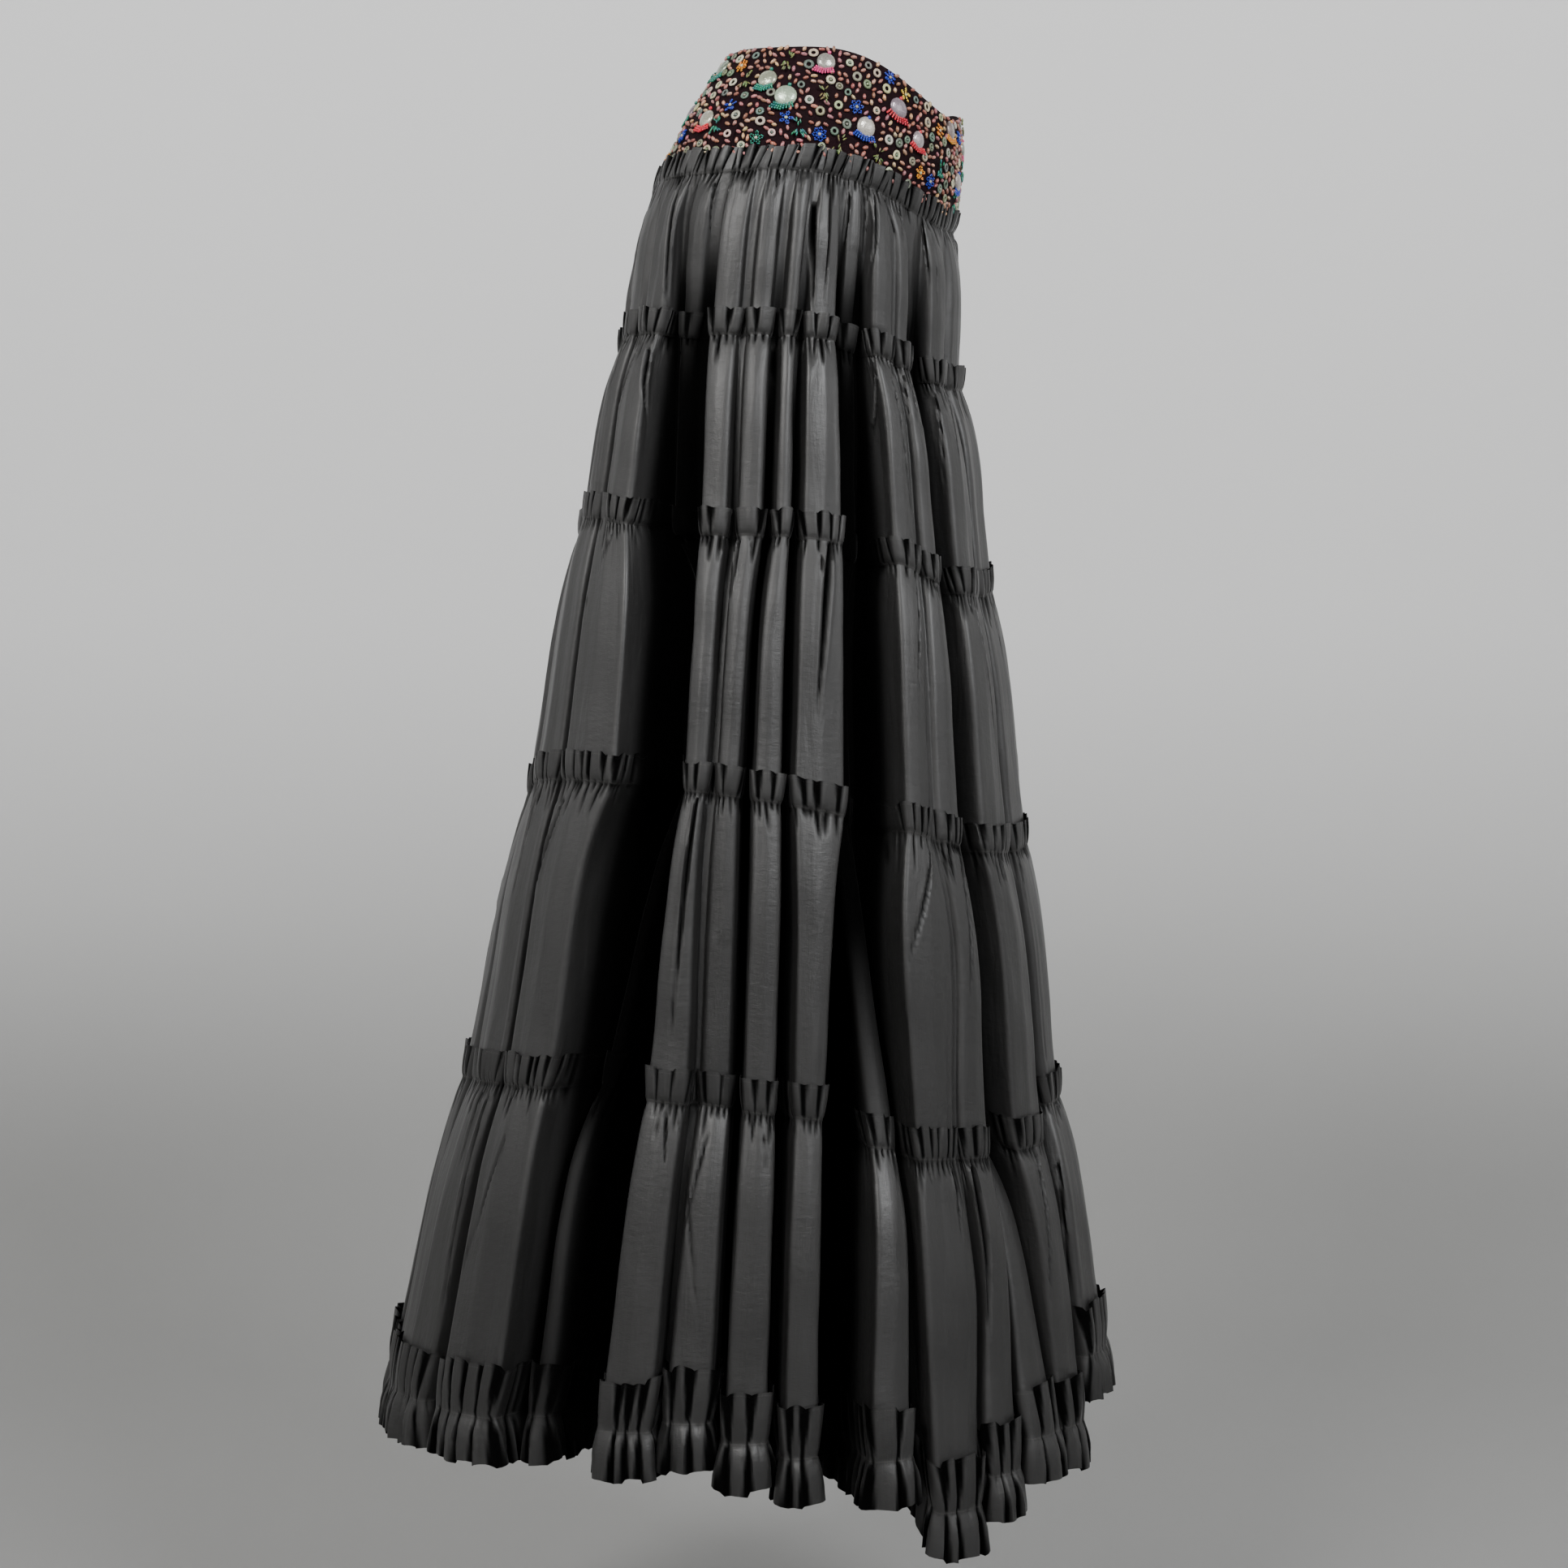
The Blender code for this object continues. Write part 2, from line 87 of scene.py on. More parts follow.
# Each fold from the front round through the wearer's right: crown angle, width, set back (mm), depth of
# the valley after it, and drop (mm), the lists running from the yoke to the hem
Fold = namedtuple("Fold", "crown width back valley drop")
even = (0, 0)
folds = [
    Fold((6, 1.2, 5, 3, 4.9), (7, 10, 11, 11, 7), even, (0.5, 0.75, 0.4), (24, 36)),
    Fold((15, 13.4, 12, 13.6, 15, 12.6, 13.2, 12.2, 13.8), (6, 3.6, 3.4, 3.6, 9), (0, 30, 50, 34, 0),
         (0.5, 0.75, 0.85), (8, 34)),
    Fold((23.5, 21, 18.4, 20, 21.8, 19.4, 21, 19.8, 22.8), (6, 6.4, 6.4, 7.6, 7.8, 6, 6.6, 5.8, 7.6), even,
         (0.4, 0.14, 0.06, 0.08, 0.22), (26, 54)),
    Fold((31.8, 29, 26.6, 28.6, 30.4, 30.8, 30.6, 30.2, 31.4), (7, 7.4, 7.6, 7.2, 6.6, 11.6, 8.4, 9.8, 8),
         even, (0.7, 0.8, 0.4), (26, 74)),
    Fold((40.5, 39.4, 37.6, 38.6, 39.4, 41.6, 39.4, 40.4, 42.6), (6, 5, 5, 4.6, 5.6),
         (0, 8, 38, 60, 62, 42, 14, 6, 0), (0.7, 1.1, 1), (20, 28)),
    Fold((48.5, 51.8, 53.4, 54.8, 56.2), (8, 10.2, 10.2, 4.2, 4.2), even, (0.5, 0.45, 0.55), (0, 20)),
    Fold((57.5, 62, 64.4, 63.4, 63.8), (6, 4.6, 5.2, 4.8, 5.4), even, (0.5, 0.45, 0.6), (0, 8)),
    Fold((67.6, 69.6, 70.4, 72.2, 73.4, 73, 71.4, 71.8, 72.1), (7.4, 8.4, 7.4, 5.6, 4.8, 5.6, 5.6, 5.8, 6),
         (0, 0, 2, 14, 6), (0.4, 0.15, 0.25), (0, -6)),
    Fold((79.2, 81.2, 79.4, 79.4, 79.2, 79.8, 79.4, 80.2, 81), (9.4, 9.8, 7.2, 6, 4.8, 5.6, 7, 7, 7), even,
         (0.6, 1, 1.05), even),
    Fold((92.6, 99, 101.2, 96.6, 93.6, 96.4, 98.2, 99.2, 98.4), (8.6, 8, 6.8, 4, 3.4, 3, 2.4, 2.6, 3),
         (0, 8, 42, 84, 84, 72, 44, 30, 26), (0.6, 1, 1.05), even),
    Fold((108.8, 113, 113.6, 109.6, 107.8, 110.2, 110.8, 110.2, 109.6),
         (12, 12.6, 13, 16.2, 17.2, 13, 12, 12.8, 12.6), even, (0.4, 0.18, 0.3), even),
    Fold((122.8, 128.4, 127, 125.6, 129), (9.4, 12.2, 14, 13, 16), even, (0.7, 0.5, 0.85), even),
    Fold((135.5, 142.6, 141, 140.4, 145.5), (9, 8, 8, 8.6, 9), (0, 8, 6, 0, 6), (0.5, 0.3, 0.35), (0, 4)),
    Fold((149, 153.6, 153.4, 154.6, 158), (11, 9.6, 10, 10, 9.6), even, (0.8, 0.95, 1), even),
    Fold((163.4, 168, 169, 170, 171.8), (9, 6, 6.4, 7.6, 8.6), (0, 30, 40, 20, 8), (0.5, 0.7, 0.5), (4, 6)),
    Fold((177, 180.5, 182, 183, 184.4), (8, 9, 9, 8.4, 8.4), even, (0.5, 0.22, 0.3), even),
    Fold((189.6, 192, 193.6, 195.4, 197.6), (10, 7.6, 7.6, 8.8, 9.8), even, (0.7, 0.85, 0.95), (0, 8)),
    Fold((203, 205, 206.6, 208, 210.4), (8, 8.6, 8.4, 8, 7.6), (0, 6, 12, 6, 0), (0.5, 0.25, 0.3), even),
    Fold((216.4, 217, 218.2, 219.6, 221.8), (11, 9, 8.4, 8.6, 8), even, (0.8, 1, 1.05), (0, 6)),
    Fold((230, 231.6, 233, 234.4, 236.4), (9, 6, 6, 7, 8), (0, 34, 56, 40, 14), (0.6, 0.9, 0.6), even),
    Fold((243.4, 244.6, 245.6, 247, 249), (10, 9, 9.4, 8.4, 8.6), even, (0.5, 0.2, 0.3), (6, 12)),
    Fold((256, 256.6, 258, 259.4, 261.4), (8, 8.4, 8.4, 8.4, 7.6), even, (0.4, 0.4, 0.45), even),
    Fold((269.4, 269.6, 270.4, 271.6, 274), (11, 9, 8.8, 9.4, 9.2), even, (0.8, 1, 1.1), even),
    Fold((284, 285.6, 287, 288, 290.4), (10, 7.6, 7, 7.4, 8), (0, 26, 44, 30, 10), (0.5, 0.75, 0.55),
         (8, 10)),
    Fold((297.6, 298.8, 300.4, 301.6, 303.6), (9, 8.6, 9.4, 9.6, 9.4), even, (0.5, 0.25, 0.35), (8, 14)),
    Fold((311, 311.6, 313.4, 315, 317), (10, 9, 8.6, 8.2, 8), even, (0.7, 0.9, 0.95), (0, 6)),
    Fold((325.6, 325, 326, 328.4, 331.4), (10, 8.4, 7.6, 8.4, 9.6), (0, 10, 16, 8, 0), (0.5, 0.45, 0.5),
         (6, 12)),
    Fold((345, 344, 345.6, 346, 350), (14, 18, 17, 14.4, 16), even, (0.4, 0.2, 0.45), (-4, -10)),
]
pointsRound = 5 * len(folds)  # left edge, crown, right edge and the two sides of the valley's floor


def atLevel(values, level):
    return float(np.interp(level / 4 * (len(values) - 1), range(len(values)), values))


def ringPoint(ring, angle, standOff, drop=0.0):
    # arrays of angles in degrees give an array of points
    turn = np.radians(angle)
    across, along = np.sin(turn), np.cos(turn)
    outX, outY = -across / ring.halfWidth, -along / ring.halfDepth
    length = np.hypot(outX, outY)
    x = -ring.halfWidth * across + standOff * outX / length
    y = ring.backShift - ring.halfDepth * along + standOff * outY / length
    z = ring.height - ring.backRise * along + ring.sideRise * across ** 2 - drop
    z = z + ring.cornerRise * (2 * across * along) ** 2
    return np.stack([x, y, z], axis=-1)


def degreeLength(ring, angle):
    turn = math.radians(angle)
    return math.radians(math.hypot(ring.halfWidth * math.cos(turn), ring.halfDepth * math.sin(turn)))


def ringFolds(ring):
    # the five points of each fold, in order round the ring
    count = len(folds)
    arch = form["crown"] * min(1.0, ring.valley / 0.04)
    backs = [atLevel(fold.back, ring.level) / 1000 for fold in folds]
    depths = []
    for i, fold in enumerate(folds):
        full = ring.valley * atLevel(fold.valley, ring.level)
        depths.append(max(full, backs[i] + arch, backs[(i + 1) % count] + arch))
    narrowings = [1 - depth / (ring.halfDepth + ring.halfWidth) * 2 for depth in depths]
    edges = []
    for fold in folds:
        crown, half = atLevel(fold.crown, ring.level), atLevel(fold.width, ring.level) / 2
        edges.append([crown - half, crown + half])
    for i, edge in enumerate(edges):
        following = edges[(i + 1) % count]
        turn = 360 if i + 1 == count else 0
        mouth = form["narrowestMouth"] / degreeLength(ring, edge[1]) / narrowings[i]
        missing = mouth - (following[0] + turn - edge[1])
        if missing > 0:
            edge[1] -= missing / 2
            following[0] += missing / 2
    lower = [atLevel((0, 0, 0) + fold.drop, ring.level) / 1000 for fold in folds]
    angles, offs, drops = [], [], []
    for i in range(count):
        left, right = edges[i]
        following = edges[(i + 1) % count][0] + (360 if i + 1 == count else 0)
        mouth, middle = following - right, (right + following) / 2
        narrowest = form["narrowestFloor"] / degreeLength(ring, middle) / narrowings[i]
        floor = min(max(mouth * form["floorShare"], narrowest), mouth * 0.9) / 2
        angles += [left, (left + right) / 2, right, middle - floor, middle + floor]
        offs += [-arch - backs[i], -backs[i], -arch - backs[i], -depths[i], -depths[i]]
        floorDrop = min(lower[i], lower[(i + 1) % count])
        drops += [lower[i]] * 3 + [floorDrop] * 2
    return ringPoint(ring, np.array(angles), np.array(offs), np.array(drops))


def swollenFolds(upper, lower):
    # the ring of folds where a tier stands out most
    ring = Ring(*(a + (b - a) * form["puffShare"] for a, b in zip(upper, lower)))
    level = upper.level + (lower.level - upper.level) * form["settled"]
    puff = upper.puff
    return ringFolds(ring._replace(halfDepth=ring.halfDepth + puff, halfWidth=ring.halfWidth + puff,
                                   valley=ring.valley + puff, level=level))


yokeSpec = {
    "columns": 120,
    "rows": 26,
    "wall": 0.0020,
    "seamGap": 0.0003,
    "swell": 0.0040,
    "tall": 0.104,  # along its cloth, from the waist to its foot
}


def yokeRing(share):
    ring = Ring(*(a + (b - a) * share for a, b in zip(waistRing, yokeFootRing)))
    swell = yokeSpec["swell"] * 4 * share * (1 - share)
    return ring._replace(halfDepth=ring.halfDepth + swell, halfWidth=ring.halfWidth + swell)


def softLine(points, rounding, places):
    # a ring of points as one soft closed line, read at places counted in points
    closed = np.vstack([points, points[:1]])
    run = np.concatenate([[0], np.cumsum(np.linalg.norm(np.diff(closed, axis=0), axis=1))])
    count = 8192
    steps = np.arange(count) * run[-1] / count
    line = np.stack([np.interp(steps, run, closed[:, k]) for k in range(3)], axis=1)
    waves = np.fft.rfftfreq(count, run[-1] / count)
    keep = np.exp(-2 * (np.pi * waves * rounding) ** 2)[:, None]
    soft = np.fft.irfft(np.fft.rfft(line, axis=0) * keep, count, axis=0)
    where = np.interp(places, np.arange(len(run)), run)
    steps = np.append(steps, run[-1])
    return np.stack([np.interp(where, steps, np.append(soft[:, k], soft[0, k])) for k in range(3)], axis=1)


def columnPlaces(points, columns, lip, sparse):
    # places round a ring, counted in points, closest together over the folds and the lips of their sides,
    # and the length of cloth up to each of them
    fine = np.arange(0, len(points), 0.02)
    closed = np.vstack([points, points[:1]])
    line = np.stack([np.interp(fine, np.arange(len(closed)), closed[:, k]) for k in range(3)], axis=1)
    step = np.linalg.norm(np.roll(line, -1, axis=0) - line, axis=1)
    run = np.concatenate([[0], np.cumsum(step)])
    knots = np.interp(np.arange(len(closed)), np.append(fine, len(points)), run)
    fold = (fine // 5).astype(int) * 5
    past = run[:-1] - knots[fold + 2]
    before = knots[fold + 5] - run[:-1]
    dense = np.where((past < lip) | (before < lip), 1.0, sparse)
    total = np.concatenate([[0], np.cumsum(step * dense)])
    places = np.interp(np.arange(columns) / columns * total[-1], total, np.append(fine, len(points)))
    return places, np.interp(places, np.append(fine, len(points)), run), run[-1]


def hangAt(lines, share):
    # points of a tier between its gathering line (share 0) and its foot (share 1)
    gather, swell, foot = lines
    puff = form["puffShare"]
    share = share[..., None]
    bulge = swell - (gather + (foot - gather) * puff)
    rising = np.sin(np.pi / 2 * np.clip(share / puff, 0, 1)) ** 0.85
    falling = np.cos(np.pi / 2 * np.clip((share - puff) / (1 - puff), 0, 1)) ** 2
    return gather + (foot - gather) * share + bulge * np.where(share < puff, rising, falling)


def outwards(points):
    # unit normals of a grid of points, rows down and columns round
    across = np.roll(points, -1, axis=1) - np.roll(points, 1, axis=1)
    down = np.gradient(points, axis=0)
    normal = np.cross(across, down)
    return normal / np.maximum(np.linalg.norm(normal, axis=2, keepdims=True), 1e-12)


def softNoise(seed, rounds, downs, u, v):
    # smooth noise from -1 to 1 on a lattice that closes round the skirt
    table = np.random.default_rng(seed).uniform(-1, 1, (rounds, downs + 2))
    x = (u % 1.0) * rounds
    y = np.clip(v, 0, 1) * downs
    i, j = np.floor(x).astype(int) % rounds, np.floor(y).astype(int)
    fx, fy = x - np.floor(x), y - j
    fx, fy = fx * fx * (3 - 2 * fx), fy * fy * (3 - 2 * fy)
    k = (i + 1) % rounds
    upper = table[i, j] * (1 - fx) + table[k, j] * fx
    lower = table[i, j + 1] * (1 - fx) + table[k, j + 1] * fx
    return upper * (1 - fy) + lower * fy


def ease(x):
    x = np.clip(x, 0, 1)
    return x * x * (3 - 2 * x)


def facets(seed, run, around, pitch, shares, knots, wander):
    # flat strips with sharp creases between them, like crushed paper: from -1 to 1, one row a share
    rng = np.random.default_rng(seed)
    count = int(around / pitch / 2) * 2
    widths = rng.uniform(0.4, 1.6, count)
    start = np.cumsum(widths) / widths.sum() * around
    side = np.where(np.arange(count) % 2, 1, -1)
    height = side * rng.uniform(0.15, 1.0, (knots, count))
    slide = np.cumsum(rng.uniform(-1, 1, (knots, count)), axis=0) * wander * pitch
    slide -= slide[0]
    rows = []
    for share in shares:
        level = share * (knots - 1)
        i = min(int(level), knots - 2)
        at = slide[i] + (slide[i + 1] - slide[i]) * (level - i)
        up = height[i] + (height[i + 1] - height[i]) * (level - i)
        rows.append(np.interp(run, start + at, up, period=around))
    return np.array(rows)


creaseStyle = {
    "halvesAMetre": 1100,  # units of the tables' half widths
    "depthsAMetre": 1400,
    "leastHalf": 0.0006,
    "ridge": 0.14,  # a low ridge at each side, as a share of the depth
    "ridgeAway": 1.4,  # in half widths
    "ridgeWide": 0.5,
}


def creases(run, around, places, shares, table):
    # sharp wedges pressed into the cloth: place at the top and at the end, counted in points round the ring,
    # shares of the tier's height where they start and end, depth and half width in creaseStyle's units
    style = creaseStyle
    lift = np.zeros((len(shares), len(run)))
    for placeTop, placeEnd, first, last, deep, half in table:
        for k, share in enumerate(shares):
            along = (share - first) / (last - first)
            if not 0 <= along < 1:
                continue
            middle = np.interp(placeTop + (placeEnd - placeTop) * along, places, run, period=pointsRound)
            away = np.abs((run - middle + around / 2) % around - around / 2)
            wide = half / style["halvesAMetre"] * (0.55 + 0.45 * min(1.0, along / 0.25)) * (1 - along) ** 0.5
            away = away / max(wide, style["leastHalf"])
            down = deep / style["depthsAMetre"] * min(1.0, along / 0.05 + 0.4) * (1 - along) ** 0.6
            ridge = style["ridge"] * np.exp(-((away - style["ridgeAway"]) / style["ridgeWide"]) ** 2)
            lift[k] -= down * (np.clip(1 - away, 0, 1) ** 1.2 - ridge)
    return lift


def similarCreases(seed, firstPlace, lastPlace, count):
    # creases for the sides that the photograph doesn't show, on the folds and the lips of their valleys
    rng = np.random.default_rng(seed)
    table = []
    for k in range(count):
        fold = rng.integers(firstPlace // 5, lastPlace // 5) * 5
        place = fold + rng.choice([0.35, 0.9, 1.5, 1.9, 2.1], p=[0.25, 0.2, 0.2, 0.25, 0.1])
        first = rng.uniform(0.0, 0.06)
        last = first + rng.choice([rng.uniform(0.08, 0.16), rng.uniform(0.25, 0.5), rng.uniform(0.5, 0.8)])
        deep = 2 + 6 * (last - first) + rng.uniform(0, 2)
        table.append((place, place + rng.uniform(-0.25, 0.25), first, last, deep, 1.6 + deep * 0.30))
    return table


def panelBounds(seed, around, narrow, broad):
    # where the little upright panels of a heading end, along the ring
    rng = np.random.default_rng(seed)
    widths = rng.uniform(narrow, broad, int(2.2 * around / (narrow + broad)))
    bounds = np.concatenate([[0], np.cumsum(widths)])
    return bounds[bounds < around - narrow]


panelStyle = {
    "opening": (0.55, 1.35),  # of the slots, as shares of a heading's half width for them
    "far": (0.55, 1.0),  # how far out a panel stands
    "paintedShadeFrom": 0.92,  # painted shade lies in a slot from this share of its half width inwards, growing over this share
    "paintedShadeOver": 0.30,  # growing over this share
}


def panels(seed, run, around, bounds, grow, slotLow, slotHigh):
    # flat panels with slots between them: how far out (0 to 1), tilt and height (-1 to 1), and the painted
    # shade in the slots
    rng = np.random.default_rng(seed)
    count = len(bounds)
    ends = np.append(bounds, around)
    which = np.clip(np.searchsorted(ends, run, side="right") - 1, 0, count - 1)
    near = np.minimum(run - ends[which], ends[which + 1] - run)
    middle = (ends[which] + ends[which + 1]) / 2
    side = (run - middle) / (ends[which + 1] - ends[which]) * 2
    opening = rng.uniform(*panelStyle["opening"], count)[which]
    slot = opening * (slotLow + (slotHigh - slotLow) * grow ** 0.8)
    out = np.clip(near / slot, 0, 1) ** 0.8
    far = rng.uniform(*panelStyle["far"], count)[which]
    tilt = rng.uniform(-1, 1, count)[which]
    tall = rng.uniform(-1, 1, count)[which]
    # painted shade in the slot, strongest at its middle
    dark = np.clip((panelStyle["paintedShadeFrom"] - near / slot) / panelStyle["paintedShadeOver"], 0, 1)
    return out * far, out * tilt * side, tall, dark


pinchStyle = {
    "short": (0.007, 0.012),
    "long": (0.012, 0.028),
    "odds": (0.62, 0.38),  # of a short and of a long one
    "deep": (0.0022, 0.0042),
    "half": (0.0014, 0.0022),
    "slant": 0.12,
}


def pinches(seed, run, around, down, bounds, halving):
    # short tucks where the cloth is drawn up on its thread, dark where deep through painted shade: below
    # each slot of the heading and between
    rng = np.random.default_rng(seed)
    ends = np.append(bounds, around)
    lift = np.zeros((len(down), len(run)))
    middles = (ends[:-1] + ends[1:])[rng.random(len(bounds)) < halving] / 2
    style = pinchStyle
    for place in np.concatenate([bounds, middles]):
        long = rng.choice([rng.uniform(*style["short"]), rng.uniform(*style["long"])], p=style["odds"])
        deep, half = rng.uniform(*style["deep"]), rng.uniform(*style["half"])
        slant = rng.uniform(-style["slant"], style["slant"])
        for k, far in enumerate(down):
            if far < long:
                away = np.abs((run - place - slant * far + around / 2) % around - around / 2)
                shape = (1 - far / long) ** 0.6 * min(1.0, far / long / 0.12 + 0.45)
                lift[k] -= deep * shape * np.clip(1 - away / half, 0, 1)
    return lift


sunkenStyle = {  # metres, and shares of a full valley's depth
    "from": (0.002, 0.045),
    "over": (0.006, 0.27),
}


def sunken(points, upper, lower, shares):
    # how deep in a valley each point lies, from 0 on the folds to 1 a third of a full valley in, which sets
    # the painted shade there
    rows = []
    start, over = sunkenStyle["from"], sunkenStyle["over"]
    for row, share in zip(points, shares):
        ring = Ring(*(a + (b - a) * share for a, b in zip(upper, lower)))
        reach = np.hypot(row[:, 0] / ring.halfWidth, (row[:, 1] - ring.backShift) / ring.halfDepth)
        deep = (1 - reach) * (ring.halfWidth + ring.halfDepth) / 2
        rows.append(ease((deep - start[0] - start[1] * ring.valley) / (over[0] + over[1] * ring.valley)))
    return np.array(rows)


def either(a, b):
    return 1 - (1 - a) * (1 - b)


def clothMesh(name, points, flatAcross, flatDown, gatherRow, paintedShade):
    # a sheet from a grid of points, closed round the skirt, with its flat sizes and its distances from both
    # edges in metres as UV maps, and the painted shade of each point, from 0 to 1, for how far it lies in a
    # slot, crease or valley
    rows, columns = points.shape[:2]
    bm = bmesh.new()
    bmesh.ops.create_grid(bm, x_segments=columns, y_segments=rows - 1, size=1)
    bm.verts.ensure_lookup_table()
    placed = np.array([v.co[:2] for v in bm.verts])
    column = np.rint((placed[:, 0] + 1) / 2 * columns).astype(int)
    row = np.rint((1 - placed[:, 1]) / 2 * (rows - 1)).astype(int)
    bmesh.ops.reverse_faces(bm, faces=bm.faces)
    mesh = meshFrom(bm, name)
    corner = np.zeros(len(mesh.loops), int)
    mesh.loops.foreach_get("vertex_index", corner)
    across = flatAcross[column[corner]]
    fromTop = flatDown[row[corner]]
    cloth = mesh.uv_layers.new(name="cloth")
    cloth.data.foreach_set("uv", np.stack([across, fromTop - flatDown[gatherRow]], axis=1).ravel())
    edges = mesh.uv_layers.new(name="edges")
    edges.data.foreach_set("uv", np.stack([fromTop, flatDown[-1] - fromTop], axis=1).ravel())
    mesh.vertices.foreach_set("co", points[row, column % columns].ravel())
    # painted shade, which the taffeta reads to darken the cloth there
    inSlot = mesh.attributes.new("paintedShade", "FLOAT", "POINT")
    inSlot.data.foreach_set("value", paintedShade[row, column % columns])
    bm = bmesh.new()
    bm.from_mesh(mesh)
    bmesh.ops.remove_doubles(bm, verts=[v for v in bm.verts if len(v.link_faces) < 4], dist=1e-7)
    bm.to_mesh(mesh)
    bm.free()
    mesh.shade_smooth()
    mesh.set_sharp_from_angle(angle=math.radians(clothStyle["sharp"]))
    mesh.materials.append(taffetaMaterial)
    return addObject(name, mesh)


# Materials
def nodeTree(name):
    material = bpy.data.materials.new(name)
    material.use_nodes = True
    tree = material.node_tree
    return material, tree, tree.nodes["Principled BSDF"]


def setInputs(tree, node, inputs):
    for key, value in inputs.items():
        if isinstance(value, bpy.types.NodeSocket):
            tree.links.new(value, node.inputs[key])
        else:
            node.inputs[key].default_value = value


def addNode(tree, kind, inputs=None, **settings):
    node = tree.nodes.new(kind)
    for key, value in settings.items():
        setattr(node, key, value)
    setInputs(tree, node, inputs or {})
    return node


def noise(tree, vector, scale, detail=2.0, roughness=0.5, distortion=0.0):
    inputs = {"Vector": vector, "Scale": scale, "Detail": detail, "Roughness": roughness,
              "Distortion": distortion}
    return addNode(tree, "ShaderNodeTexNoise", inputs).outputs[0]


def stretched(tree, vector, scale, turned=0.0):
    inputs = {"Vector": vector, "Scale": scale, "Rotation": (0, 0, turned)}
    return addNode(tree, "ShaderNodeMapping", inputs).outputs[0]


def calculate(tree, operation, a, b=0.0, c=0.0):
    return addNode(tree, "ShaderNodeMath", {0: a, 1: b, 2: c}, operation=operation).outputs[0]


def mapRange(tree, value, low, high, newLow=0.0, newHigh=1.0, **settings):
    inputs = {0: value, 1: low, 2: high, 3: newLow, 4: newHigh}
    return addNode(tree, "ShaderNodeMapRange", inputs, **settings).outputs[0]


def mixColor(tree, share, first, second, **settings):
    inputs = {0: share, 6: first, 7: second}
    return addNode(tree, "ShaderNodeMix", inputs, data_type="RGBA", **settings).outputs[2]


def addBumps(tree, shader, layers):
    # pairs of a height and its distance in metres, one over the other
    under = {}
    for height, distance in layers:
        inputs = {"Height": height, "Distance": distance, "Strength": 1.0, **under}
        under = {"Normal": addNode(tree, "ShaderNodeBump", inputs).outputs[0]}
    setInputs(tree, shader, under)


def objectPlace(tree):
    return addNode(tree, "ShaderNodeTexCoord").outputs["Object"]


taffeta = {
    "color": (0.0085, 0.0083, 0.0082, 1),
    "worn": (0.0135, 0.0130, 0.0128, 1),
    "thread": (0.022, 0.021, 0.020, 1),
    "deep": (0.0012, 0.0012, 0.0012, 1),  # painted shade, near black, down in a slot, crease or valley, where little light comes
    "paintedShadeDull": 0.45,  # added to the roughness in the painted shade
    "paintedShadeMetal": 0.92,  # metallic in the painted shade, so that it reflects nothing
    "roughness": (0.43, 0.54),
    "specular": 0.60,
    "sheen": 0.04,
    "sheenRoughness": 0.30,
    "stitchDown": 0.0026,  # stitching below the upper edge
    "stitchHalf": 0.00030,
    "stitchPitch": 0.0024,
    "stitchGap": 0.28,  # as a share of the pitch
    "threadHalf": 0.00045,  # half width of the gathering thread
    "puckersReach": 0.011,
    # scale of each pattern, and the height of its bumps
    "broadScale": 9.0,
    "crinkleScale": 70.0,
    "crinkles": 0.0011,
    "fineScale": 190.0,
    "fine": 0.0003,
    "ribsScale": (220.0, 2600.0, 1.0),
    "ribs": 0.00006,
    "puckersScale": 420.0,
    "puckers": 0.0003,
    "threads": 0.0003,
}


